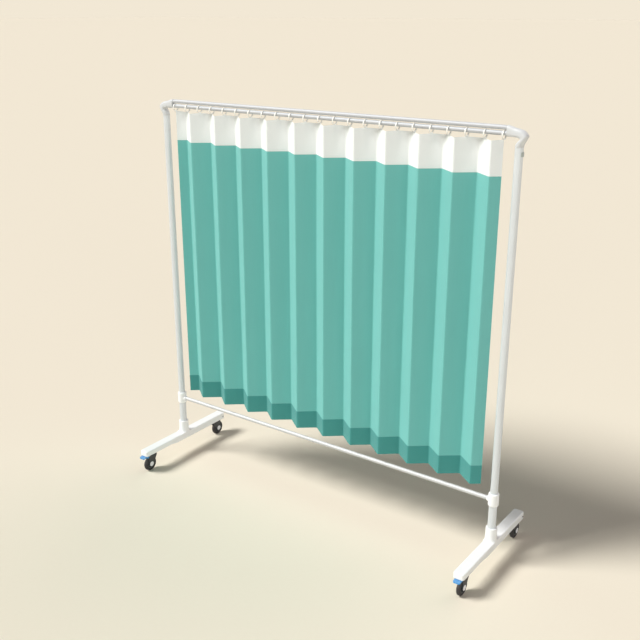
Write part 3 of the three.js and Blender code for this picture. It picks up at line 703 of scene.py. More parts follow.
# %% Ribs below the feet
ENDS = (("front", -1, FOOT_FRONT_BOTTOM), ("rear", 1, FOOT_BOTTOM))
RIBS, FIRST_RIB_Y, RIB_STEP = 3, 0.0746, 0.052
RIB_SETBACK, RIB_SINK = 0.006, 0.001
rib_tree, given = new_tree("rib_row", [
    ("Width", "Float", 0.0445), ("Thickness", "Float", 0.0025), ("Height", "Float", 0.02),
    ("First rib", "Vector", None), ("Step", "Vector", None), ("Ribs", "Int", RIBS)])
row = add_node(rib_tree, "GeometryNodeMeshLine",
               {"Count": given["Ribs"], "Start Location": given["First rib"],
                "Offset": given["Step"]})
one_rib = box(rib_tree, given["Width"], given["Thickness"], given["Height"])
close_tree(rib_tree, given, repeated(rib_tree, one_rib, row.outputs[0]))

for label, side in SIDES:
    for end, direction, underside in ENDS:
        bottom = underside + RIB_SETBACK
        height = FOOT_TOP - FOOT_ROOF + RIB_SINK - bottom
        ribs = grown(f"foot_ribs_{end}_{label}", rib_tree, white_enamel, {
            "Height": height,
            "First rib": (side * POST_X, direction * FIRST_RIB_Y, bottom + height / 2),
            "Step": (0, direction * RIB_STEP, 0)})
        describe(hand_over(ribs, FRAME))

# %% Screws in the +X faces of the feet
HEAD_RADIUS, HEAD_HEIGHT = 0.0032, 0.0021
SHANK_END = -0.0014
SLOT_HALF_LENGTH, SLOT_HALF_WIDTH, SLOT_FLOOR = 0.004, 0.0004, 0.0013


def screw_part():
    """A shank and a pan head, whose top is flat in the middle and falls off to the rim."""
    profile = [(0, SHANK_END), (SCREW_RADIUS, SHANK_END), (SCREW_RADIUS, PLAY),
               (HEAD_RADIUS, PLAY), (HEAD_RADIUS - 0.0002, HEAD_HEIGHT - 0.0008),
               (HEAD_RADIUS - 0.0011, HEAD_HEIGHT - 0.0001), (0, HEAD_HEIGHT)]
    return turned(rounded(profile, radius=0.0003), facets=24)


for label, side in SIDES:
    screw = new_piece(f"foot_screw_head_{label}", screw_part(), screw_steel)
    slot = upwards(oblong(SLOT_HALF_LENGTH, -SLOT_HALF_WIDTH, SLOT_HALF_WIDTH),
                   SLOT_FLOOR, HEAD_HEIGHT + OVERRUN)
    cross = moved(slot, Matrix.Rotation(QUARTER_TURN, 4, "Z"))
    carve(screw, [("DIFFERENCE", slot), ("DIFFERENCE", cross)])
    screw.data.transform(Matrix.Translation((side * POST_X + FOOT_WIDTH / 2, SCREW_Y, SCREW_Z))
                         @ TO_X)
    smooth_shading(screw, sharp=40)
    describe(hand_over(screw, FRAME, f"foot_screw_{label}"))

# %% [markdown]
# ## Uprights and collars
# The lower tube is a little thicker than the post. Both end inside a white collar, which also
# holds the bottom rail. A cylinder would do for what is seen. Here round tubes are turned profiles
# with their wall, so that an open end looks like a tube and not like a bar.

# %% Lower tubes and posts
POST_RADIUS, POST_TOP = 0.016, 1.790
TUBE_WALL = 0.0015
COLLAR_STOP = (0.3197, 0.3213)


def tube(radius, wall, start, end):
    """A tube with its wall and softened rims."""
    inner = radius - wall
    profile = [(inner, start), (radius, start), (radius, end), (inner, end)]
    return turned(rounded(profile, radius=0.0004, steps=2, closed=True), facets=64, ring=True)


UPRIGHTS = (("lower_tube", LOWER_RADIUS, TUBE_SEAT_Z + PLAY, COLLAR_STOP[0] - PLAY),
            ("post", POST_RADIUS, COLLAR_STOP[1] + PLAY, POST_TOP))
for label, side in SIDES:
    for node, radius, start, end in UPRIGHTS:
        piece = new_piece(f"{node}_skin_{label}", tube(radius, TUBE_WALL, start, end), post_enamel)
        piece.data.transform(at_post(side))
        smooth_shading(piece)
        describe(hand_over(piece, FRAME, f"{node}_{label}"))

# %% Collars
COLLAR_BOTTOM, COLLAR_TOP, COLLAR_RADIUS = 0.292, 0.349, 0.0230
COLLAR_TAPER, TAPER_HEIGHT = 0.0015, 0.004
BOTTOM_RAIL_Z, BOTTOM_RAIL_RADIUS = 0.318, 0.0095
RAIL_SEAT, SOCKET_END = 0.0192, 0.028


def collar_body():
    waist = COLLAR_RADIUS - COLLAR_TAPER
    profile = [(0, COLLAR_BOTTOM), (waist, COLLAR_BOTTOM),
               (COLLAR_RADIUS, COLLAR_BOTTOM + TAPER_HEIGHT),
               (COLLAR_RADIUS, COLLAR_TOP - TAPER_HEIGHT), (waist, COLLAR_TOP), (0, COLLAR_TOP)]
    return turned(rounded(profile, radius=0.0022, steps=5), facets=80)


def rail_socket():
    """A short sleeve that grows out of the collar towards the bottom rail."""
    radius, root = 0.0120, 0.0138
    profile = [(0, 0), (root, 0), (root, COLLAR_RADIUS), (radius, COLLAR_RADIUS + 0.0022),
               (radius, SOCKET_END), (0, SOCKET_END)]
    socket = turned(rounded(profile, radius=0.0010, steps=4), facets=64)
    return shifted(moved(socket, TO_X), z=BOTTOM_RAIL_Z)


for label, side in SIDES:
    collar = new_piece(f"rail_collar_shell_{label}", collar_body(), white_enamel)
    low = rod(LOWER_RADIUS + PLAY, COLLAR_BOTTOM - OVERRUN, COLLAR_STOP[0], facets=64)
    high = rod(POST_RADIUS + PLAY, COLLAR_STOP[1], COLLAR_TOP + OVERRUN, facets=64)
    rail = rod_along_x(BOTTOM_RAIL_RADIUS + PLAY, RAIL_SEAT, SOCKET_END + CUT_MARGIN,
                       z=BOTTOM_RAIL_Z)
    carve(collar, [("UNION", rail_socket()), ("DIFFERENCE", low), ("DIFFERENCE", high),
                   ("DIFFERENCE", rail)])
    smooth_shading(collar, sharp=32)
    turn = Matrix.Rotation(0 if side < 0 else math.pi, 4, "Z")
    collar.data.transform(at_post(side) @ turn)
    describe(hand_over(collar, FRAME, f"rail_collar_{label}"))

# %% [markdown]
# ## Rails
# Two straight bars of satin steel, and above them the top tube that keeps the posts apart. It dips
# into the elbows at both ends. A curve with a bevel would give the same tube, but with its sizes
# hidden in the curve. Here a round section is carried along its line, with frames that stay
# upright.

# %% Straight rails
RAIL_WALL = 0.0012
ROD_Z, ROD_RADIUS = 1.8365, 0.00875
RAIL_HALF = 0.857
BOTTOM_RAIL_HALF = POST_X - RAIL_SEAT - PLAY
# The bottom rail takes the lighter copy of the rail steel, painted light for its brighter look.
RAILS = (("bottom_rail", BOTTOM_RAIL_RADIUS, BOTTOM_RAIL_HALF, BOTTOM_RAIL_Z, rail_steel_painted_lighter),
         ("curtain_rod", ROD_RADIUS, RAIL_HALF, ROD_Z, rail_steel))
for node, radius, half, z, finish in RAILS:
    bar = moved(tube(radius, RAIL_WALL, -half, half), TO_X)
    rail = smooth_shading(new_piece(f"{node}_skin", shifted(bar, z=z), finish))
    describe(hand_over(rail, FRAME, node))

# %% Top tube
TOP_RADIUS = 0.00875
BEND_RADIUS, BEND_REACH = 0.080, 0.0246
bend_angle = math.asin(BEND_REACH / BEND_RADIUS)
TOP_END_Z = ROD_Z + ROD_RADIUS + PLAY + TOP_RADIUS * math.cos(bend_angle)
TOP_Z = TOP_END_Z + BEND_RADIUS * (1 - math.cos(bend_angle))


def top_line(end=RAIL_HALF, steps=10):
    """Points and leans of the tube's axis, from left to right."""
    bend_x = RAIL_HALF - BEND_REACH
    last = math.asin((end - bend_x) / BEND_RADIUS)
    half = []
    for i in range(steps + 1):
        angle = last * i / steps
        half.append((bend_x + BEND_RADIUS * math.sin(angle),
                     TOP_Z - BEND_RADIUS * (1 - math.cos(angle)), angle))
    return [(-x, z, lean) for x, z, lean in half[::-1]] + [(x, z, -lean) for x, z, lean in half]


def along_top(radius, end=RAIL_HALF, facets=40):
    loops = []
    for x, z, lean in top_line(end):
        ring = []
        for up, across in arc(0, 0, radius, 0, 2 * math.pi, facets)[:-1]:
            ring.append((x - up * math.sin(lean), across, z + up * math.cos(lean)))
        loops.append(ring)
    return skinned(loops)


top = smooth_shading(new_piece("top_tube_skin", along_top(TOP_RADIUS), rail_steel))
describe(hand_over(top, FRAME, "top_tube"))

# %% [markdown]
# ## End fittings
# A moulded elbow sits on each post and turns the load of both rails into it. It could be sculpted
# or subdivided from a few boxes. But its section changes all the way, from a round neck to a tall
# rounded nose, so it is skinned through stations: a point at the throat, a point at the crest, a
# depth and a roundness. A smooth curve runs through each of the four.

# %% Elbow stations
# Shares of the inner or outer reach and of the height for the throat, then for the crest, then the
# share of the depth and the roundness.
STATION_SHARES = [
    ((-0.34, 0.00), (0.53, 0.00), 0.92, 1.00), ((-0.31, 0.09), (0.53, 0.08), 0.94, 1.00),
    ((-0.23, 0.175), (0.62, 0.20), 0.98, 0.90), ((-0.12, 0.26), (0.78, 0.32), 1.00, 0.80),
    ((0.03, 0.34), (0.92, 0.45), 1.00, 0.75), ((0.00, 0.40), (0.95, 0.575), 1.00, 0.70),
    ((-0.17, 0.435), (0.50, 0.77), 0.97, 0.70), ((-0.38, 0.448), (-0.06, 0.85), 0.90, 0.70),
    ((-0.58, 0.45), (-0.42, 0.90), 0.80, 0.70), ((-0.80, 0.45), (-0.74, 0.965), 0.73, 0.70),
    ((-1.00, 0.45), (-1.00, 1.00), 0.70, 0.70)]
ELBOW_INNER, ELBOW_OUTER, ELBOW_HEIGHT, ELBOW_DEPTH = 0.050, 0.033, 0.077, 0.037
ELBOW_BOTTOM = POST_TOP + PLAY
END_SHARE, END_SHRINK_SHARE = 0.02, 0.05


def through(values, t):
    """A smooth curve through evenly spaced values, at t from 0 to 1."""
    last = len(values) - 1
    i = min(int(t * last), last - 1)
    u = t * last - i
    a, b, c, d = (Vector(values[min(max(i + k, 0), last)]) for k in (-1, 0, 1, 2))
    return ((b * 2) + (c - a) * u + (a * 2 - b * 5 + c * 4 - d) * u * u
            + (b * 3 - a - c * 3 + d) * u * u * u) / 2


def elbow_point(share, side):
    reach = ELBOW_INNER if share[0] < 0 else ELBOW_OUTER
    return Vector((side * (POST_X + share[0] * reach), 0, ELBOW_BOTTOM + share[1] * ELBOW_HEIGHT))


def elbow_part(side, steps=44, facets=56):
    throats = [elbow_point(station[0], side) for station in STATION_SHARES]
    crests = [elbow_point(station[1], side) for station in STATION_SHARES]
    forms = [(station[2], station[3], 0) for station in STATION_SHARES]
    loops = []
    for i in range(steps + 1):
        t = i / steps
        throat, crest, form = through(throats, t), through(crests, t), through(forms, t)
        near_end = max(0, 1 - min(t, 1 - t) / END_SHARE)
        shrink = 1 - END_SHRINK_SHARE * near_end
        middle, half = (throat + crest) / 2, (crest - throat) / 2 * shrink
        ring = []
        for cosine, sine in arc(0, 0, 1, 0, 2 * math.pi, facets)[:-1]:
            along = math.copysign(abs(cosine) ** form.y, cosine)
            across = math.copysign(abs(sine) ** form.y, sine) * form.x * ELBOW_DEPTH / 2 * shrink
            point = middle + half * along
            ring.append((point.x, across, point.z))
        loops.append(ring)
    return skinned(loops)


# %% Elbows with their plugs and bores
PLUG_RADIUS, PLUG_BOTTOM, PLUG_BEVEL = 0.0142, 1.750, 0.0006
for label, side in SIDES:
    elbow = new_piece(f"end_fitting_shell_{label}", elbow_part(side), fitting_plastic)
    plug = rod(PLUG_RADIUS, PLUG_BOTTOM, ELBOW_BOTTOM + OVERRUN, PLUG_BEVEL)
    bore_half = RAIL_HALF + PLAY
    carve(elbow, [("UNION", moved(plug, at_post(side))),
                  ("DIFFERENCE", rod_along_x(ROD_RADIUS + PLAY, -bore_half, bore_half, z=ROD_Z)),
                  ("DIFFERENCE", along_top(TOP_RADIUS + PLAY, bore_half))])
    smooth_shading(elbow, sharp=40)
    describe(hand_over(elbow, FRAME, f"end_fitting_{label}"))

# %% [markdown]
# ## Buffer pad
# A small rubber saddle near the top of the right post keeps the screen off a wall. A bent box would
# do. A slice of a ring hugs the post exactly, and a bevel gives it soft edges.

# %% Pad
PAD_BOTTOM, PAD_TOP, PAD_THICKNESS, PAD_HALF_ANGLE = 1.7565, 1.773, 0.0025, 0.72


def saddle(inner, outer, half_angle, bottom, top):
    outline = arc(0, 0, outer, -half_angle, half_angle, 20)
    outline += arc(0, 0, inner, half_angle, -half_angle, 20)
    return upwards(outline, bottom, top)


inside = POST_RADIUS + PLAY
pad = new_piece("buffer_pad_skin", saddle(inside, inside + PAD_THICKNESS, PAD_HALF_ANGLE,
                                          PAD_BOTTOM, PAD_TOP), buffer_rubber)
pad.data.transform(at_post(1))
smooth_shading(pad, bevel=0.0006)
describe(hand_over(pad, FRAME, "buffer_pad"))

# %% [markdown]
# ## Casters
# Each caster has a fork with its stem, a rubber tyre on a plastic hub, and a light cap on both ends
# of the axle. Fork and wheel turn separately, so they are separate pieces on their own bodies. Flat
# legs are outlines given a width, wheels are turned profiles, and the webs of the hub repeat round
# its axis. All of it is drawn once, with the wheel towards -Y, and turned for the rear end.

# %% Fork
WHEEL_R, TRAIL = 0.0375, 0.024
FORK_GAP, FORK_LEG = 0.019, 0.003
FORK_HALF = FORK_GAP / 2 + FORK_LEG
FORK_BORE_HALF, LEVER_BORE_HALF = 0.015, 0.02
FORK_TOP, FORK_ROOF, FORK_CHAMFER = 0.084, 0.007, 0.004
FORK_BACK, CROWN_FRONT, AXLE_END_RADIUS = 0.015, -0.017, 0.014
RACE_RADIUS, RACE_TOP, RACE_CHAMFER, STEM_TOP = 0.013, 0.0877, 0.0003, 0.1117
AXLE_BORE, PIN_RADIUS = 0.0043, 0.002
PIN_Y, PIN_Z = -TRAIL - 0.008, 0.0805


def fork_leg_outline():
    back = (FORK_BACK, FORK_TOP - FORK_ROOF)
    away_y, away_z = back[0] + TRAIL, back[1] - WHEEL_R
    tangent = (math.atan2(away_z, away_y)
               - math.acos(AXLE_END_RADIUS / math.hypot(away_y, away_z)))
    nose = -TRAIL - AXLE_END_RADIUS
    head = [(FORK_BACK, FORK_TOP), (nose + FORK_CHAMFER, FORK_TOP),
            (nose, FORK_TOP - FORK_CHAMFER)]
    below = arc(-TRAIL, WHEEL_R, AXLE_END_RADIUS, math.pi, tangent + 2 * math.pi, 24)
    return head + below + [back]


def fork_stem():
    low = FORK_TOP - PLAY
    return turned([(0, low), (RACE_RADIUS, low), (RACE_RADIUS, RACE_TOP - RACE_CHAMFER),
                   (RACE_RADIUS - RACE_CHAMFER, RACE_TOP), (STEM_RADIUS, RACE_TOP),
                   (STEM_RADIUS, STEM_TOP), (0, STEM_TOP)])


def make_fork(name, with_pin):
    outline, leg_x = fork_leg_outline(), (FORK_GAP + FORK_LEG) / 2
    fork = new_piece(name, across_x(outline, FORK_LEG, -leg_x), caster_plastic)
    crown = rounded(oblong(FORK_HALF, CROWN_FRONT, FORK_BACK), radius=0.006, steps=6, closed=True)
    tools = [("UNION", across_x(outline, FORK_LEG, leg_x)),
             ("UNION", upwards(crown, FORK_TOP - FORK_ROOF, FORK_TOP)), ("UNION", fork_stem()),
             ("DIFFERENCE", rod_along_x(AXLE_BORE, -FORK_BORE_HALF, FORK_BORE_HALF,
                                      y=-TRAIL, z=WHEEL_R))]
    if with_pin:
        tools.append(("UNION", rod_along_x(PIN_RADIUS, -FORK_HALF, FORK_HALF, 24, PIN_Y, PIN_Z)))
    carve(fork, tools)
    return smooth_shading(fork, sharp=32, bevel=0.0005)


# %% Tyre, hub and axle caps
GROOVE_HALF_WIDTH, GROOVE_DEPTH = 0.0007, 0.0005


def tyre_part():
    """Two flanks and a tread with rounded shoulders and a fine groove round its middle."""
    inner = WHEEL_R - 0.0125
    side = [(inner, -0.0087), (inner + 0.004, -0.0087), (inner + 0.0045, -0.0082),
            (inner + 0.008, -0.0084), (WHEEL_R - 0.003, -0.0078), (WHEEL_R, -0.0045)]
    groove = [(WHEEL_R, -GROOVE_HALF_WIDTH), (WHEEL_R - GROOVE_DEPTH, 0),
              (WHEEL_R, GROOVE_HALF_WIDTH)]
    profile = side + groove + mirrored(side)
    return turned(rounded(profile, radius=0.0016, closed=True), facets=96, ring=True)


def hub_part():
    """A boss on the axle, a disc and a rim, the same on both sides."""
    boss, rim, outer = 0.009, 0.0207, 0.0247
    boss_half, web_half, rim_half = 0.0092, 0.003, 0.0075
    side = [(AXLE_BORE, boss_half), (boss, boss_half), (boss + 0.0006, web_half),
            (rim - 0.0005, web_half), (rim, rim_half), (outer, rim_half)]
    profile = rounded(side + mirrored(side), radius=0.0006, steps=2, closed=True)
    return turned(profile, facets=72, ring=True)


def cap_part():
    """The axle with a dished cap on each end."""
    axle, cap, dish = 0.004, 0.0125, 0.0060
    seat, face = FORK_HALF + PLAY, FORK_HALF + 0.0018
    half = [(axle, seat), (cap, seat), (cap, face - 0.0006), (cap - 0.0013, face), (dish, face),
            (dish - 0.0008, face - 0.0004), (0, face - 0.0004)]
    return turned(rounded(mirrored(half) + half, radius=0.0003), facets=56)


# %% Webs of the hub, repeated round its axis
web_tree, given = new_tree("hub_webs", [
    ("Webs", "Int", 6), ("Middle radius", "Float", 0.0148), ("Reach", "Float", 0.0125),
    ("Thickness", "Float", 0.0014), ("Width", "Float", 0.0138)])
circle = add_node(web_tree, "GeometryNodeMeshCircle", {"Vertices": given["Webs"],
                                                       "Radius": given["Middle radius"]})
where = add_node(web_tree, "GeometryNodeInputPosition")
facing = add_node(web_tree, "FunctionNodeAlignRotationToVector", {"Vector": where.outputs[0]},
                  axis="X", pivot_axis="Z")
one_web = box(web_tree, given["Reach"], given["Thickness"], given["Width"])
close_tree(web_tree, given, repeated(web_tree, one_web, circle.outputs[0],
                                     Rotation=facing.outputs[0]))

# %% Placing the four casters
TO_AXLE = Matrix.Translation((0, -TRAIL, WHEEL_R)) @ TO_X
WHEEL_PIECES = (("tyre_skin", tyre_part, tyre_rubber, "tyre_rubber", "wheel", "tyre"),
                ("hub_body", hub_part, caster_plastic, "caster_plastic", "wheel", "wheel_hub"),
                ("axle_caps", cap_part, cap_plastic, "axle_cap", "caster", "axle"))


def at_caster(piece, side, direction):
    """Places a piece that was drawn for the front; those of the rear are turned round."""
    turn = Matrix.Rotation(0 if direction < 0 else math.pi, 4, "Z")
    place = Matrix.Translation((side * POST_X, direction * CASTER_Y, 0))
    piece.data.transform(place @ turn)
    return piece


for end, direction, _ in ENDS:
    for label, side in SIDES:
        tag = f"{end}_{label}"
        fork = at_caster(make_fork(f"fork_{tag}", end == "front"), side, direction)
        describe(hand_over(fork, f"caster_{tag}", f"caster_fork_{tag}"))
        for name, part, finish, slot, body, node in WHEEL_PIECES:
            piece = new_piece(f"{name}_{tag}", moved(part(), TO_AXLE), finish)
            smooth_shading(at_caster(piece, side, direction), sharp=40)
            describe(hand_over(piece, f"{body}_{tag}", f"{node}_{tag}"))
        webs = grown(f"hub_webs_{tag}", web_tree, caster_plastic, {})
        webs.data.transform(TO_AXLE)
        hand_over(at_caster(webs, side, direction), f"wheel_{tag}")

# %% [markdown]
# ## Brake pedals
# A blue pedal on each front caster: a short lever on a pin, with a brake shoe above the tyre and a
# wide tab for the toe. Three shallow grooves across the tab give grip. A pedal this small could be
# one box with bevels, but would lose its shoe and its drooping tip. So the lever and the tab are
# outlines with a width, joined and then softened all round.

# %% Toe tab
TAB_TOP, TAB_FRONT, TAB_BACK = 0.093, -TRAIL - 0.056, -TRAIL - 0.020
TAB_THICKNESS, TAB_DROP, TAB_BEND_Y, TAB_SLOPE = 0.006, 0.0035, -0.064, 0.219
TAB_BLANK_WIDTH, TAB_BLANK_BOTTOM, TAB_BLANK_TOP = 0.04, 0.075, 0.0959
TAB_HALF_WIDTH, GRIP_HALF_WIDTH, GRIP_RADIUS = 0.0155, 0.011, 0.0007
GRIPS_Y = (-0.067, -0.071, -0.075)


def tab_part():
    side = rounded([(TAB_BACK, TAB_TOP), (TAB_BACK, TAB_TOP - TAB_THICKNESS),
                    (TAB_FRONT, TAB_TOP - TAB_DROP - TAB_THICKNESS),
                    (TAB_FRONT, TAB_TOP - TAB_DROP), (TAB_BEND_Y, TAB_TOP)],
                   radius=0.0012, steps=4, closed=True)
    plan = rounded(oblong(TAB_HALF_WIDTH, TAB_FRONT, TAB_BACK), radius=0.0065, steps=7, closed=True)
    tools = [("INTERSECT", upwards(plan, TAB_BLANK_BOTTOM, TAB_BLANK_TOP))]
    for y in GRIPS_Y:
        grip = moved(rod(GRIP_RADIUS, -GRIP_HALF_WIDTH, GRIP_HALF_WIDTH, 0.0003, 16), TO_X)
        z = TAB_TOP + (y - TAB_BEND_Y) * TAB_SLOPE + 0.0002
        tools.append(("DIFFERENCE", shifted(grip, y=y, z=z)))
    blank = new_piece("tab", across_x(side, TAB_BLANK_WIDTH), pedal_plastic)
    return taken_apart(carve(blank, tools))


# %% Lever and pedals
LEVER_RADIUS, SHOE_DROP = 0.0044, 0.0062


def lever_part():
    knuckle = arc(PIN_Y, PIN_Z, LEVER_RADIUS, QUARTER_TURN, -QUARTER_TURN, 10)
    shoe = [(PIN_Y - 0.0095, PIN_Z - SHOE_DROP), (PIN_Y - 0.0106, PIN_Z - SHOE_DROP)]
    neck = [(TAB_BACK - 0.0104, TAB_TOP - 0.012), (TAB_BACK - 0.0104, TAB_TOP - 0.003),
            (TAB_BACK - 0.0044, TAB_TOP - 0.003)]
    return across_x(knuckle + shoe + neck, FORK_GAP - 2 * PLAY)


for label, side in SIDES:
    tab = tab_part()
    pedal = new_piece(f"pedal_lever_{label}", lever_part(), pedal_plastic)
    hole = rod_along_x(PIN_RADIUS + PLAY, -LEVER_BORE_HALF, LEVER_BORE_HALF, 24, PIN_Y, PIN_Z)
    carve(pedal, [("UNION", tab), ("DIFFERENCE", hole)])
    at_caster(smooth_shading(pedal, bevel=0.0006), side, -1)
    describe(hand_over(pedal, f"pedal_{label}", f"brake_pedal_{label}"))

# %% [markdown]
# ## Rings
# Twenty-three plastic rings carry the curtain. Each one slides on its own, so each is a piece on
# its own body. Blender's torus would be round in section. These come from one small tree: a flat
# band with soft edges, bent into a circle. Every ring leans a little differently on the rod, by an
# amount that a fixed seed picks.

# %% Ring sizes, and sweeps in a tree
PLEATS, SPREAD = 22, 1.674
PITCH = SPREAD / PLEATS
RING_R, RING_BAND, RING_WIDTH, RING_Z = 0.0165, 0.0018, 0.0060, 1.82995
RING_LEAN, LEAN_SEED = 0.035, 7
CLOTH_TOP = RING_Z - RING_R - RING_BAND / 2 - PLAY


def oblong_curve(tree, width, height):
    node = add_node(tree, "GeometryNodeCurvePrimitiveQuadrilateral",
                    {"Width": width, "Height": height})
    return node.outputs[0]


def filleted(tree, curve, radius):
    node = add_node(tree, "GeometryNodeFilletCurve",
                    {"Curve": curve, "Radius": radius, "Count": 3}, mode="POLY")
    return node.outputs[0]


def swept(tree, curve, profile, place, turn):
    """Carries the profile along the curve and moves the result to its place."""
    mesh = add_node(tree, "GeometryNodeCurveToMesh", {"Curve": curve, "Profile Curve": profile})
    node = add_node(tree, "GeometryNodeTransform",
                    {"Geometry": mesh.outputs[0], "Translation": place, "Rotation": turn})
    return node.outputs[0]


# %% Ring tree and rings
ring_tree, given = new_tree("curtain_ring", [
    ("Ring radius", "Float", RING_R), ("Thickness", "Float", RING_BAND),
    ("Width", "Float", RING_WIDTH), ("Corner", "Float", 0.0006), ("Middle", "Vector", None),
    ("Number", "Int", 0), ("Lean", "Float", RING_LEAN)])
wire = add_node(ring_tree, "GeometryNodeCurvePrimitiveCircle",
                {"Resolution": 48, "Radius": given["Ring radius"]})
section = filleted(ring_tree, oblong_curve(ring_tree, given["Thickness"], given["Width"]),
                   given["Corner"])
pick = add_node(ring_tree, "FunctionNodeRandomValue", {"ID": given["Number"], "Seed": LEAN_SEED},
                data_type="FLOAT")
pick.inputs[2].default_value = -1
lean = maths(ring_tree, "MULTIPLY", pick.outputs[1], given["Lean"])
turn_up = add_node(ring_tree, "ShaderNodeCombineXYZ", {1: QUARTER_TURN, 2: lean})
close_tree(ring_tree, given, swept(ring_tree, wire.outputs[0], section, given["Middle"],
                                   turn_up.outputs[0]))


def ring_body(i):
    """The first ring stays at the post, the last one leads, and the others follow in between."""
    return FRAME if i == 0 else "curtain_leader" if i == PLEATS else f"ring_{i + 1:02d}"


for i in range(PLEATS + 1):
    ring = grown(f"ring_band_{i + 1:02d}", ring_tree, ring_plastic,
                 {"Middle": (-SPREAD / 2 + i * PITCH, 0, RING_Z), "Number": i})
    hand_over(ring, ring_body(i), f"curtain_ring_{i + 1:02d}")

# %% [markdown]
# ## Cloth finishes
# The curtain is a plain weave. Seen close, warp and weft threads pass over each other in turn; seen
# from afar, the cloth only looks matt and a little soft. A picture of cloth would repeat. The weave
# group turns the cloth's own coordinates, in metres, into thread heights and a shade between the
# threads, so the threads keep their size on every pleat.

# %% Weave group
FLAT_MAP = "flat_cloth"
SLUBS_PER_METRE = (260, 6, 1)
OVER_SHARE = 0.3
weave_group, given = new_group("plain_weave", [
    ("Flat place", "Vector", None), ("Threads per metre", "Float", 1400),
    ("Unevenness", "Float", 0.3)])
flat = add_node(weave_group, "ShaderNodeSeparateXYZ", {0: given["Flat place"]})
slow = clouds(weave_group, given["Flat place"], scale=90.0, detail=3)
drift = maths(weave_group, "MULTIPLY", slow, given["Unevenness"])
waves = []
for axis in ("X", "Y"):
    turns = maths(weave_group, "MULTIPLY", flat.outputs[axis], given["Threads per metre"])
    phase = maths(weave_group, "MULTIPLY", maths(weave_group, "ADD", turns, drift), math.pi)
    waves.append(maths(weave_group, "SINE", phase))
over = maths(weave_group, "MULTIPLY", *waves)
threads = maths(weave_group, "MULTIPLY", *[maths(weave_group, "ABSOLUTE", wave) for wave in waves])
stretch = add_node(weave_group, "ShaderNodeMapping", {"Vector": given["Flat place"],
                                                      "Scale": SLUBS_PER_METRE})
deliver(weave_group, {"Height": maths(weave_group, "MULTIPLY_ADD", over, OVER_SHARE, threads),
                      "Shade": threads,
                      "Slub": clouds(weave_group, stretch.outputs[0], scale=1.0, detail=2)})


# %% Cloth materials
def cloth_finish(name, colour, depth=0.00012, soil=0.05, threads=1400):
    material, tree = new_material(name)
    flat = add_node(tree, "ShaderNodeUVMap", uv_map=FLAT_MAP).outputs[0]
    woven = use_group(tree, weave_group, {"Flat place": flat, "Threads per metre": threads})
    base = blended(tree, woven["Shade"], shaded(colour, 0.90), shaded(colour, 1.05))
    streak = ramp(tree, woven["Slub"], low=0.35, high=0.7, most=0.10)
    base = blended(tree, streak, base, shaded(colour, 1.2))
    patches = clouds(tree, flat, scale=2.6, detail=4)
    soiled = ramp(tree, patches, low=0.4, high=0.75, most=soil)
    base = blended(tree, soiled, base, shaded(colour, 0.6))
    rough = maths(tree, "MULTIPLY_ADD", woven["Slub"], 0.15, 0.78)
    close_material(tree, woven["Height"], depth, 0.7, {
        "Base Color": base, "Roughness": rough, "Specular IOR Level": 0.25,
        "Sheen Weight": 0.12, "Sheen Roughness": 0.5})
    return material


FINE_THREAD = {"depth": 0.00005, "threads": 5000}
panel_cloth = cloth_finish("panel_cloth", (0.184, 0.550, 0.515))
hem_cloth = cloth_finish("hem_cloth", (0.070, 0.328, 0.308))
header_cloth = cloth_finish("header_cloth", (0.92, 0.965, 0.95), soil=0.01)
panel_thread = cloth_finish("panel_thread", (0.20, 0.57, 0.53), **FINE_THREAD)
hem_thread = cloth_finish("hem_thread", (0.09, 0.36, 0.335), **FINE_THREAD)
header_thread = cloth_finish("header_thread", (0.86, 0.89, 0.87), **FINE_THREAD)
print("materials in all:", len(bpy.data.materials))

# %% [markdown]
# ## The curtain's line
# The cloth hangs in 22 sharp, pressed pleats. It passes under a ring halfway along each face, and
# folds midway between two rings, at the back and at the front in turn. Where the rings hold its top
# edge, the folds at the back spread into round loops, which is why the pale faces narrow towards
# the rings. A simulation would soften the pressed creases, so this line is stated in code: one
# function gives the place of every point of the flat cloth, with the small unevenness of real
# cloth added.

# %% Flat cloth to hanging cloth
FOLD_DEPTH, FOLD_SOFTNESS, FOLD_REACH = 0.0300, 0.065, 0.0282
SEGMENT = 2 * math.hypot(PITCH / 2, FOLD_REACH)
FLAT_WIDTH = PLEATS * SEGMENT
LOOP_ANGLE, LOOP_RADIUS = math.radians(64), 0.0423
OPEN_FROM = 1.690
CLOTH_BOTTOM, HEM_TOP, HEADER_BOTTOM = 0.3735, 0.4596, CLOTH_TOP - 0.136
BOW, SWAY, DRIFT, SAG = 0.0016, 0.0022, 0.0018, 0.003


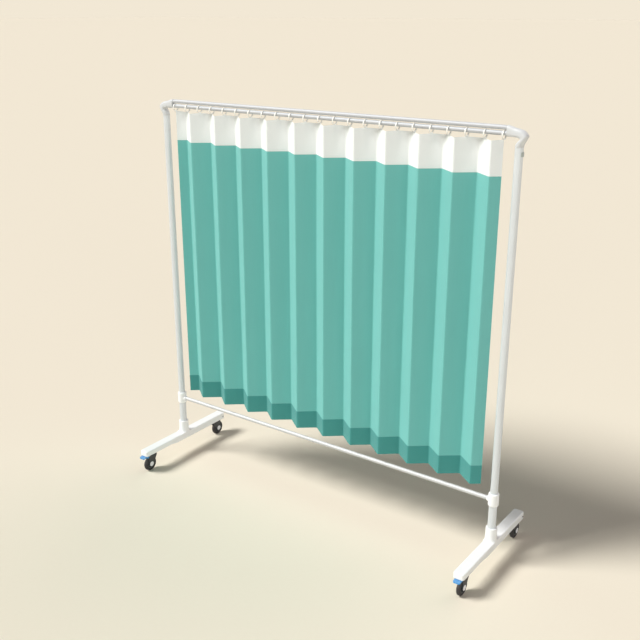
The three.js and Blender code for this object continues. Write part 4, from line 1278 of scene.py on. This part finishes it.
def hanging(along, z):
    """Where the flat cloth's point hangs: along is metres from its left edge.

    Each kind of unevenness reads its own row of a smooth noise, which changes from fold to fold
    and slowly down the cloth.
    """
    segment = min(int(along / SEGMENT), PLEATS - 1)
    share = along / SEGMENT - segment
    back = segment % 2 == 0
    fold = abs(2 * share - 1)
    depth = math.sqrt(1 + FOLD_SOFTNESS ** 2) - math.sqrt(fold * fold + FOLD_SOFTNESS ** 2)
    x, y = PITCH * share, FOLD_DEPTH * depth
    opening = max(0.0, (z - OPEN_FROM) / (CLOTH_TOP - OPEN_FROM))
    if back and opening:
        angle = (2 * share - 1) * LOOP_ANGLE
        loop_x = PITCH / 2 + LOOP_RADIUS * math.sin(angle)
        loop_y = LOOP_RADIUS * (math.cos(angle) - math.cos(LOOP_ANGLE))
        x += (loop_x - x) * opening ** 1.5
        y += (loop_y - y) * opening ** 1.5
    y = y if back else -y
    x += -SPREAD / 2 + segment * PITCH
    free = (CLOTH_TOP - z) / (CLOTH_TOP - CLOTH_BOTTOM)
    inner = min(1.0, min(along, FLAT_WIDTH - along) / SEGMENT)
    crease = max(0.0, 1 - fold)
    face = segment + (0 if share < 0.5 else 0.37)
    bow = noise.noise((face * 5.1, z * 1.7, 3.0)) * BOW * math.sin(math.pi * crease)
    sway = noise.noise((segment * 3.7, z * 1.1, 9.0)) * SWAY * free ** 0.5
    drift = noise.noise((segment * 2.9, z * 1.4, 17.0)) * DRIFT * free
    x += sway * crease * inner
    y += (bow + drift * crease) * inner
    return Vector((x, y, z - SAG * crease * opening ** 3))


# %% A band of cloth
CREASE_SHARES = [0, 0.09, 0.18, 0.27, 0.35, 0.415, 0.455, 0.48, 0.5, 0.52, 0.545, 0.585, 0.65, 0.73,
                 0.82, 0.91]
CLOTH_SHARP = 50


def places_along():
    """Places along the flat cloth: close together at each crease, wider on the faces."""
    places = [(segment + share) * SEGMENT for segment in range(PLEATS) for share in CREASE_SHARES]
    return places + [FLAT_WIDTH]


def cloth_band(name, bottom, top, rows, finish, thickness):
    places = places_along()
    levels = [bottom + (top - bottom) * i / rows for i in range(rows + 1)]
    count = len(places)
    corners = [hanging(along, z) for z in levels for along in places]
    faces = [(r * count + c, r * count + c + 1, (r + 1) * count + c + 1, (r + 1) * count + c)
             for r in range(rows) for c in range(count - 1)]
    mesh = bpy.data.meshes.new(name)
    mesh.from_pydata(corners, [], faces)
    uv = mesh.uv_layers.new(name=FLAT_MAP)
    for loop in mesh.loops:
        row, column = divmod(loop.vertex_index, count)
        uv.data[loop.index].uv = (places[column], levels[row])
    mesh.materials.append(finish)
    band = put(name, mesh)
    thick = band.modifiers.new("cloth", "SOLIDIFY")
    thick.thickness = thickness
    thick.offset = 0
    settle(band)
    smooth_faces(band.data, CLOTH_SHARP)
    print(name, "flat", round(FLAT_WIDTH, 3), "x", round(top - bottom, 3))
    return band


# %% The three bands
BANDS = {"panel": (HEM_TOP, HEADER_BOTTOM, 84, panel_cloth, 0.0009),
         "hem": (CLOTH_BOTTOM, HEM_TOP, 16, hem_cloth, 0.0016),
         "header": (HEADER_BOTTOM, CLOTH_TOP, 30, header_cloth, 0.0012)}
bands = {name: cloth_band(f"{name}_sheet", *values) for name, values in BANDS.items()}
for band in bands.values():
    describe(band)

# %% [markdown]
# ## Sewing
# Two rows of stitches close the hem and two hold the header, and one row runs down each side edge.
# A drawn line would vanish when seen close. A tree places one short stitch after another along a
# seam line that follows the cloth, on both of its faces. Small sewn tapes go round each ring and
# into the header. A tape moves with its ring, so it keeps its shape where the curtain is gathered.

# %% Stitch tree
stitch_tree, given = new_tree("stitch_row", [
    ("Stitch length", "Float", 0.0030), ("Gap", "Float", 0.0012),
    ("Thread radius", "Float", 0.00032)])
stitch = add_node(stitch_tree, "GeometryNodeMeshCylinder",
                  {"Vertices": 5, "Side Segments": 1, "Radius": given["Thread radius"],
                   "Depth": given["Stitch length"]}, fill_type="TRIANGLE_FAN")
seam = add_node(stitch_tree, "GeometryNodeMeshToCurve", {0: given["Geometry"]})
step = maths(stitch_tree, "ADD", given["Stitch length"], given["Gap"])
stops = add_node(stitch_tree, "GeometryNodeResampleCurve",
                 {"Curve": seam.outputs[0], "Length": step}, mode="LENGTH")
slope = add_node(stitch_tree, "GeometryNodeInputTangent")
facing = add_node(stitch_tree, "FunctionNodeAlignRotationToVector", {"Vector": slope.outputs[0]},
                  axis="Z")
close_tree(stitch_tree, given, repeated(stitch_tree, stitch.outputs[0], stops.outputs[0],
                                        Rotation=facing.outputs[0]))


# %% Seam lines
def face_offset(along, z, distance):
    """A point that stands off the cloth's middle by a distance, towards -Y."""
    a, b = hanging(max(along - 0.001, 0), z), hanging(min(along + 0.001, FLAT_WIDTH), z)
    direction = (b - a).normalized()
    return hanging(along, z) + Vector((direction.y, -direction.x, 0)) * distance


def seam_mesh(name, levels, uprights, off):
    corners, edges = [], []
    lines = [[(along, z) for along in places_along()] for z in levels]
    lines += [[(along, bottom + (top - bottom) * i / 60) for i in range(61)]
              for along, bottom, top in uprights]
    for line in lines:
        for distance in (off, -off):
            start = len(corners)
            corners += [face_offset(along, z, distance) for along, z in line]
            edges += [(start + i, start + i + 1) for i in range(len(line) - 1)]
    mesh = bpy.data.meshes.new(name)
    mesh.from_pydata(corners, edges, [])
    return mesh


# %% Rows of stitches
SEAM_ROWS, SIDE_ROW = (0.003, 0.009), 0.012
hem_rows = [HEM_TOP - row for row in SEAM_ROWS]
header_rows = [HEADER_BOTTOM + row for row in SEAM_ROWS]
side_rows = [(along, HEM_TOP, HEADER_BOTTOM) for along in (SIDE_ROW, FLAT_WIDTH - SIDE_ROW)]
seams = {}
for band, name, thread, levels, uprights, off in (
        ("hem", "hem_stitches", hem_thread, hem_rows, [], 0.0009),
        ("header", "header_stitches", header_thread, header_rows, [], 0.0007),
        ("panel", "side_stitches", panel_thread, [], side_rows, 0.0006)):
    seams[band] = grown(name, stitch_tree, thread, {}, seam_mesh(name, levels, uprights, off))
    seams[band].data.uv_layers.new(name=FLAT_MAP)
    describe(seams[band])

# %% Ring tapes
tape_tree, given = new_tree("ring_tape", [
    ("Middle", "Vector", None), ("Loop length", "Float", 0.0074), ("Loop height", "Float", 0.0030),
    ("Width", "Float", 0.009), ("Thickness", "Float", 0.0005), ("Corner", "Float", 0.0012)])
loop = filleted(tape_tree, oblong_curve(tape_tree, given["Loop length"], given["Loop height"]),
                given["Corner"])
strip = oblong_curve(tape_tree, given["Thickness"], given["Width"])
close_tree(tape_tree, given, swept(tape_tree, loop, strip, given["Middle"], (QUARTER_TURN, 0, 0)))
for i in range(PLEATS + 1):
    tape = grown(f"ring_tape_{i + 1:02d}", tape_tree, header_cloth,
                 {"Middle": (-SPREAD / 2 + i * PITCH, 0, RING_Z - RING_R)})
    tape.data.uv_layers.new(name=FLAT_MAP)
    hand_over(tape, ring_body(i))
print("tapes:", PLEATS + 1, "with", len(tape.data.polygons), "faces each")

# %% [markdown]
# ## The cloth
# The three bands and their stitches go to the frame, each with a mesh of its own, in the place of
# the imported curtain. The real cloth closes up towards the left post like a bellows when the
# curtain is drawn.

# %% Handing the cloth over
for piece in [*bands.values(), *seams.values()]:
    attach(piece, FRAME)
    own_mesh(piece)
for name, band in bands.items():
    bottom, top = BANDS[name][:2]
    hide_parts(f"curtain_{name}")
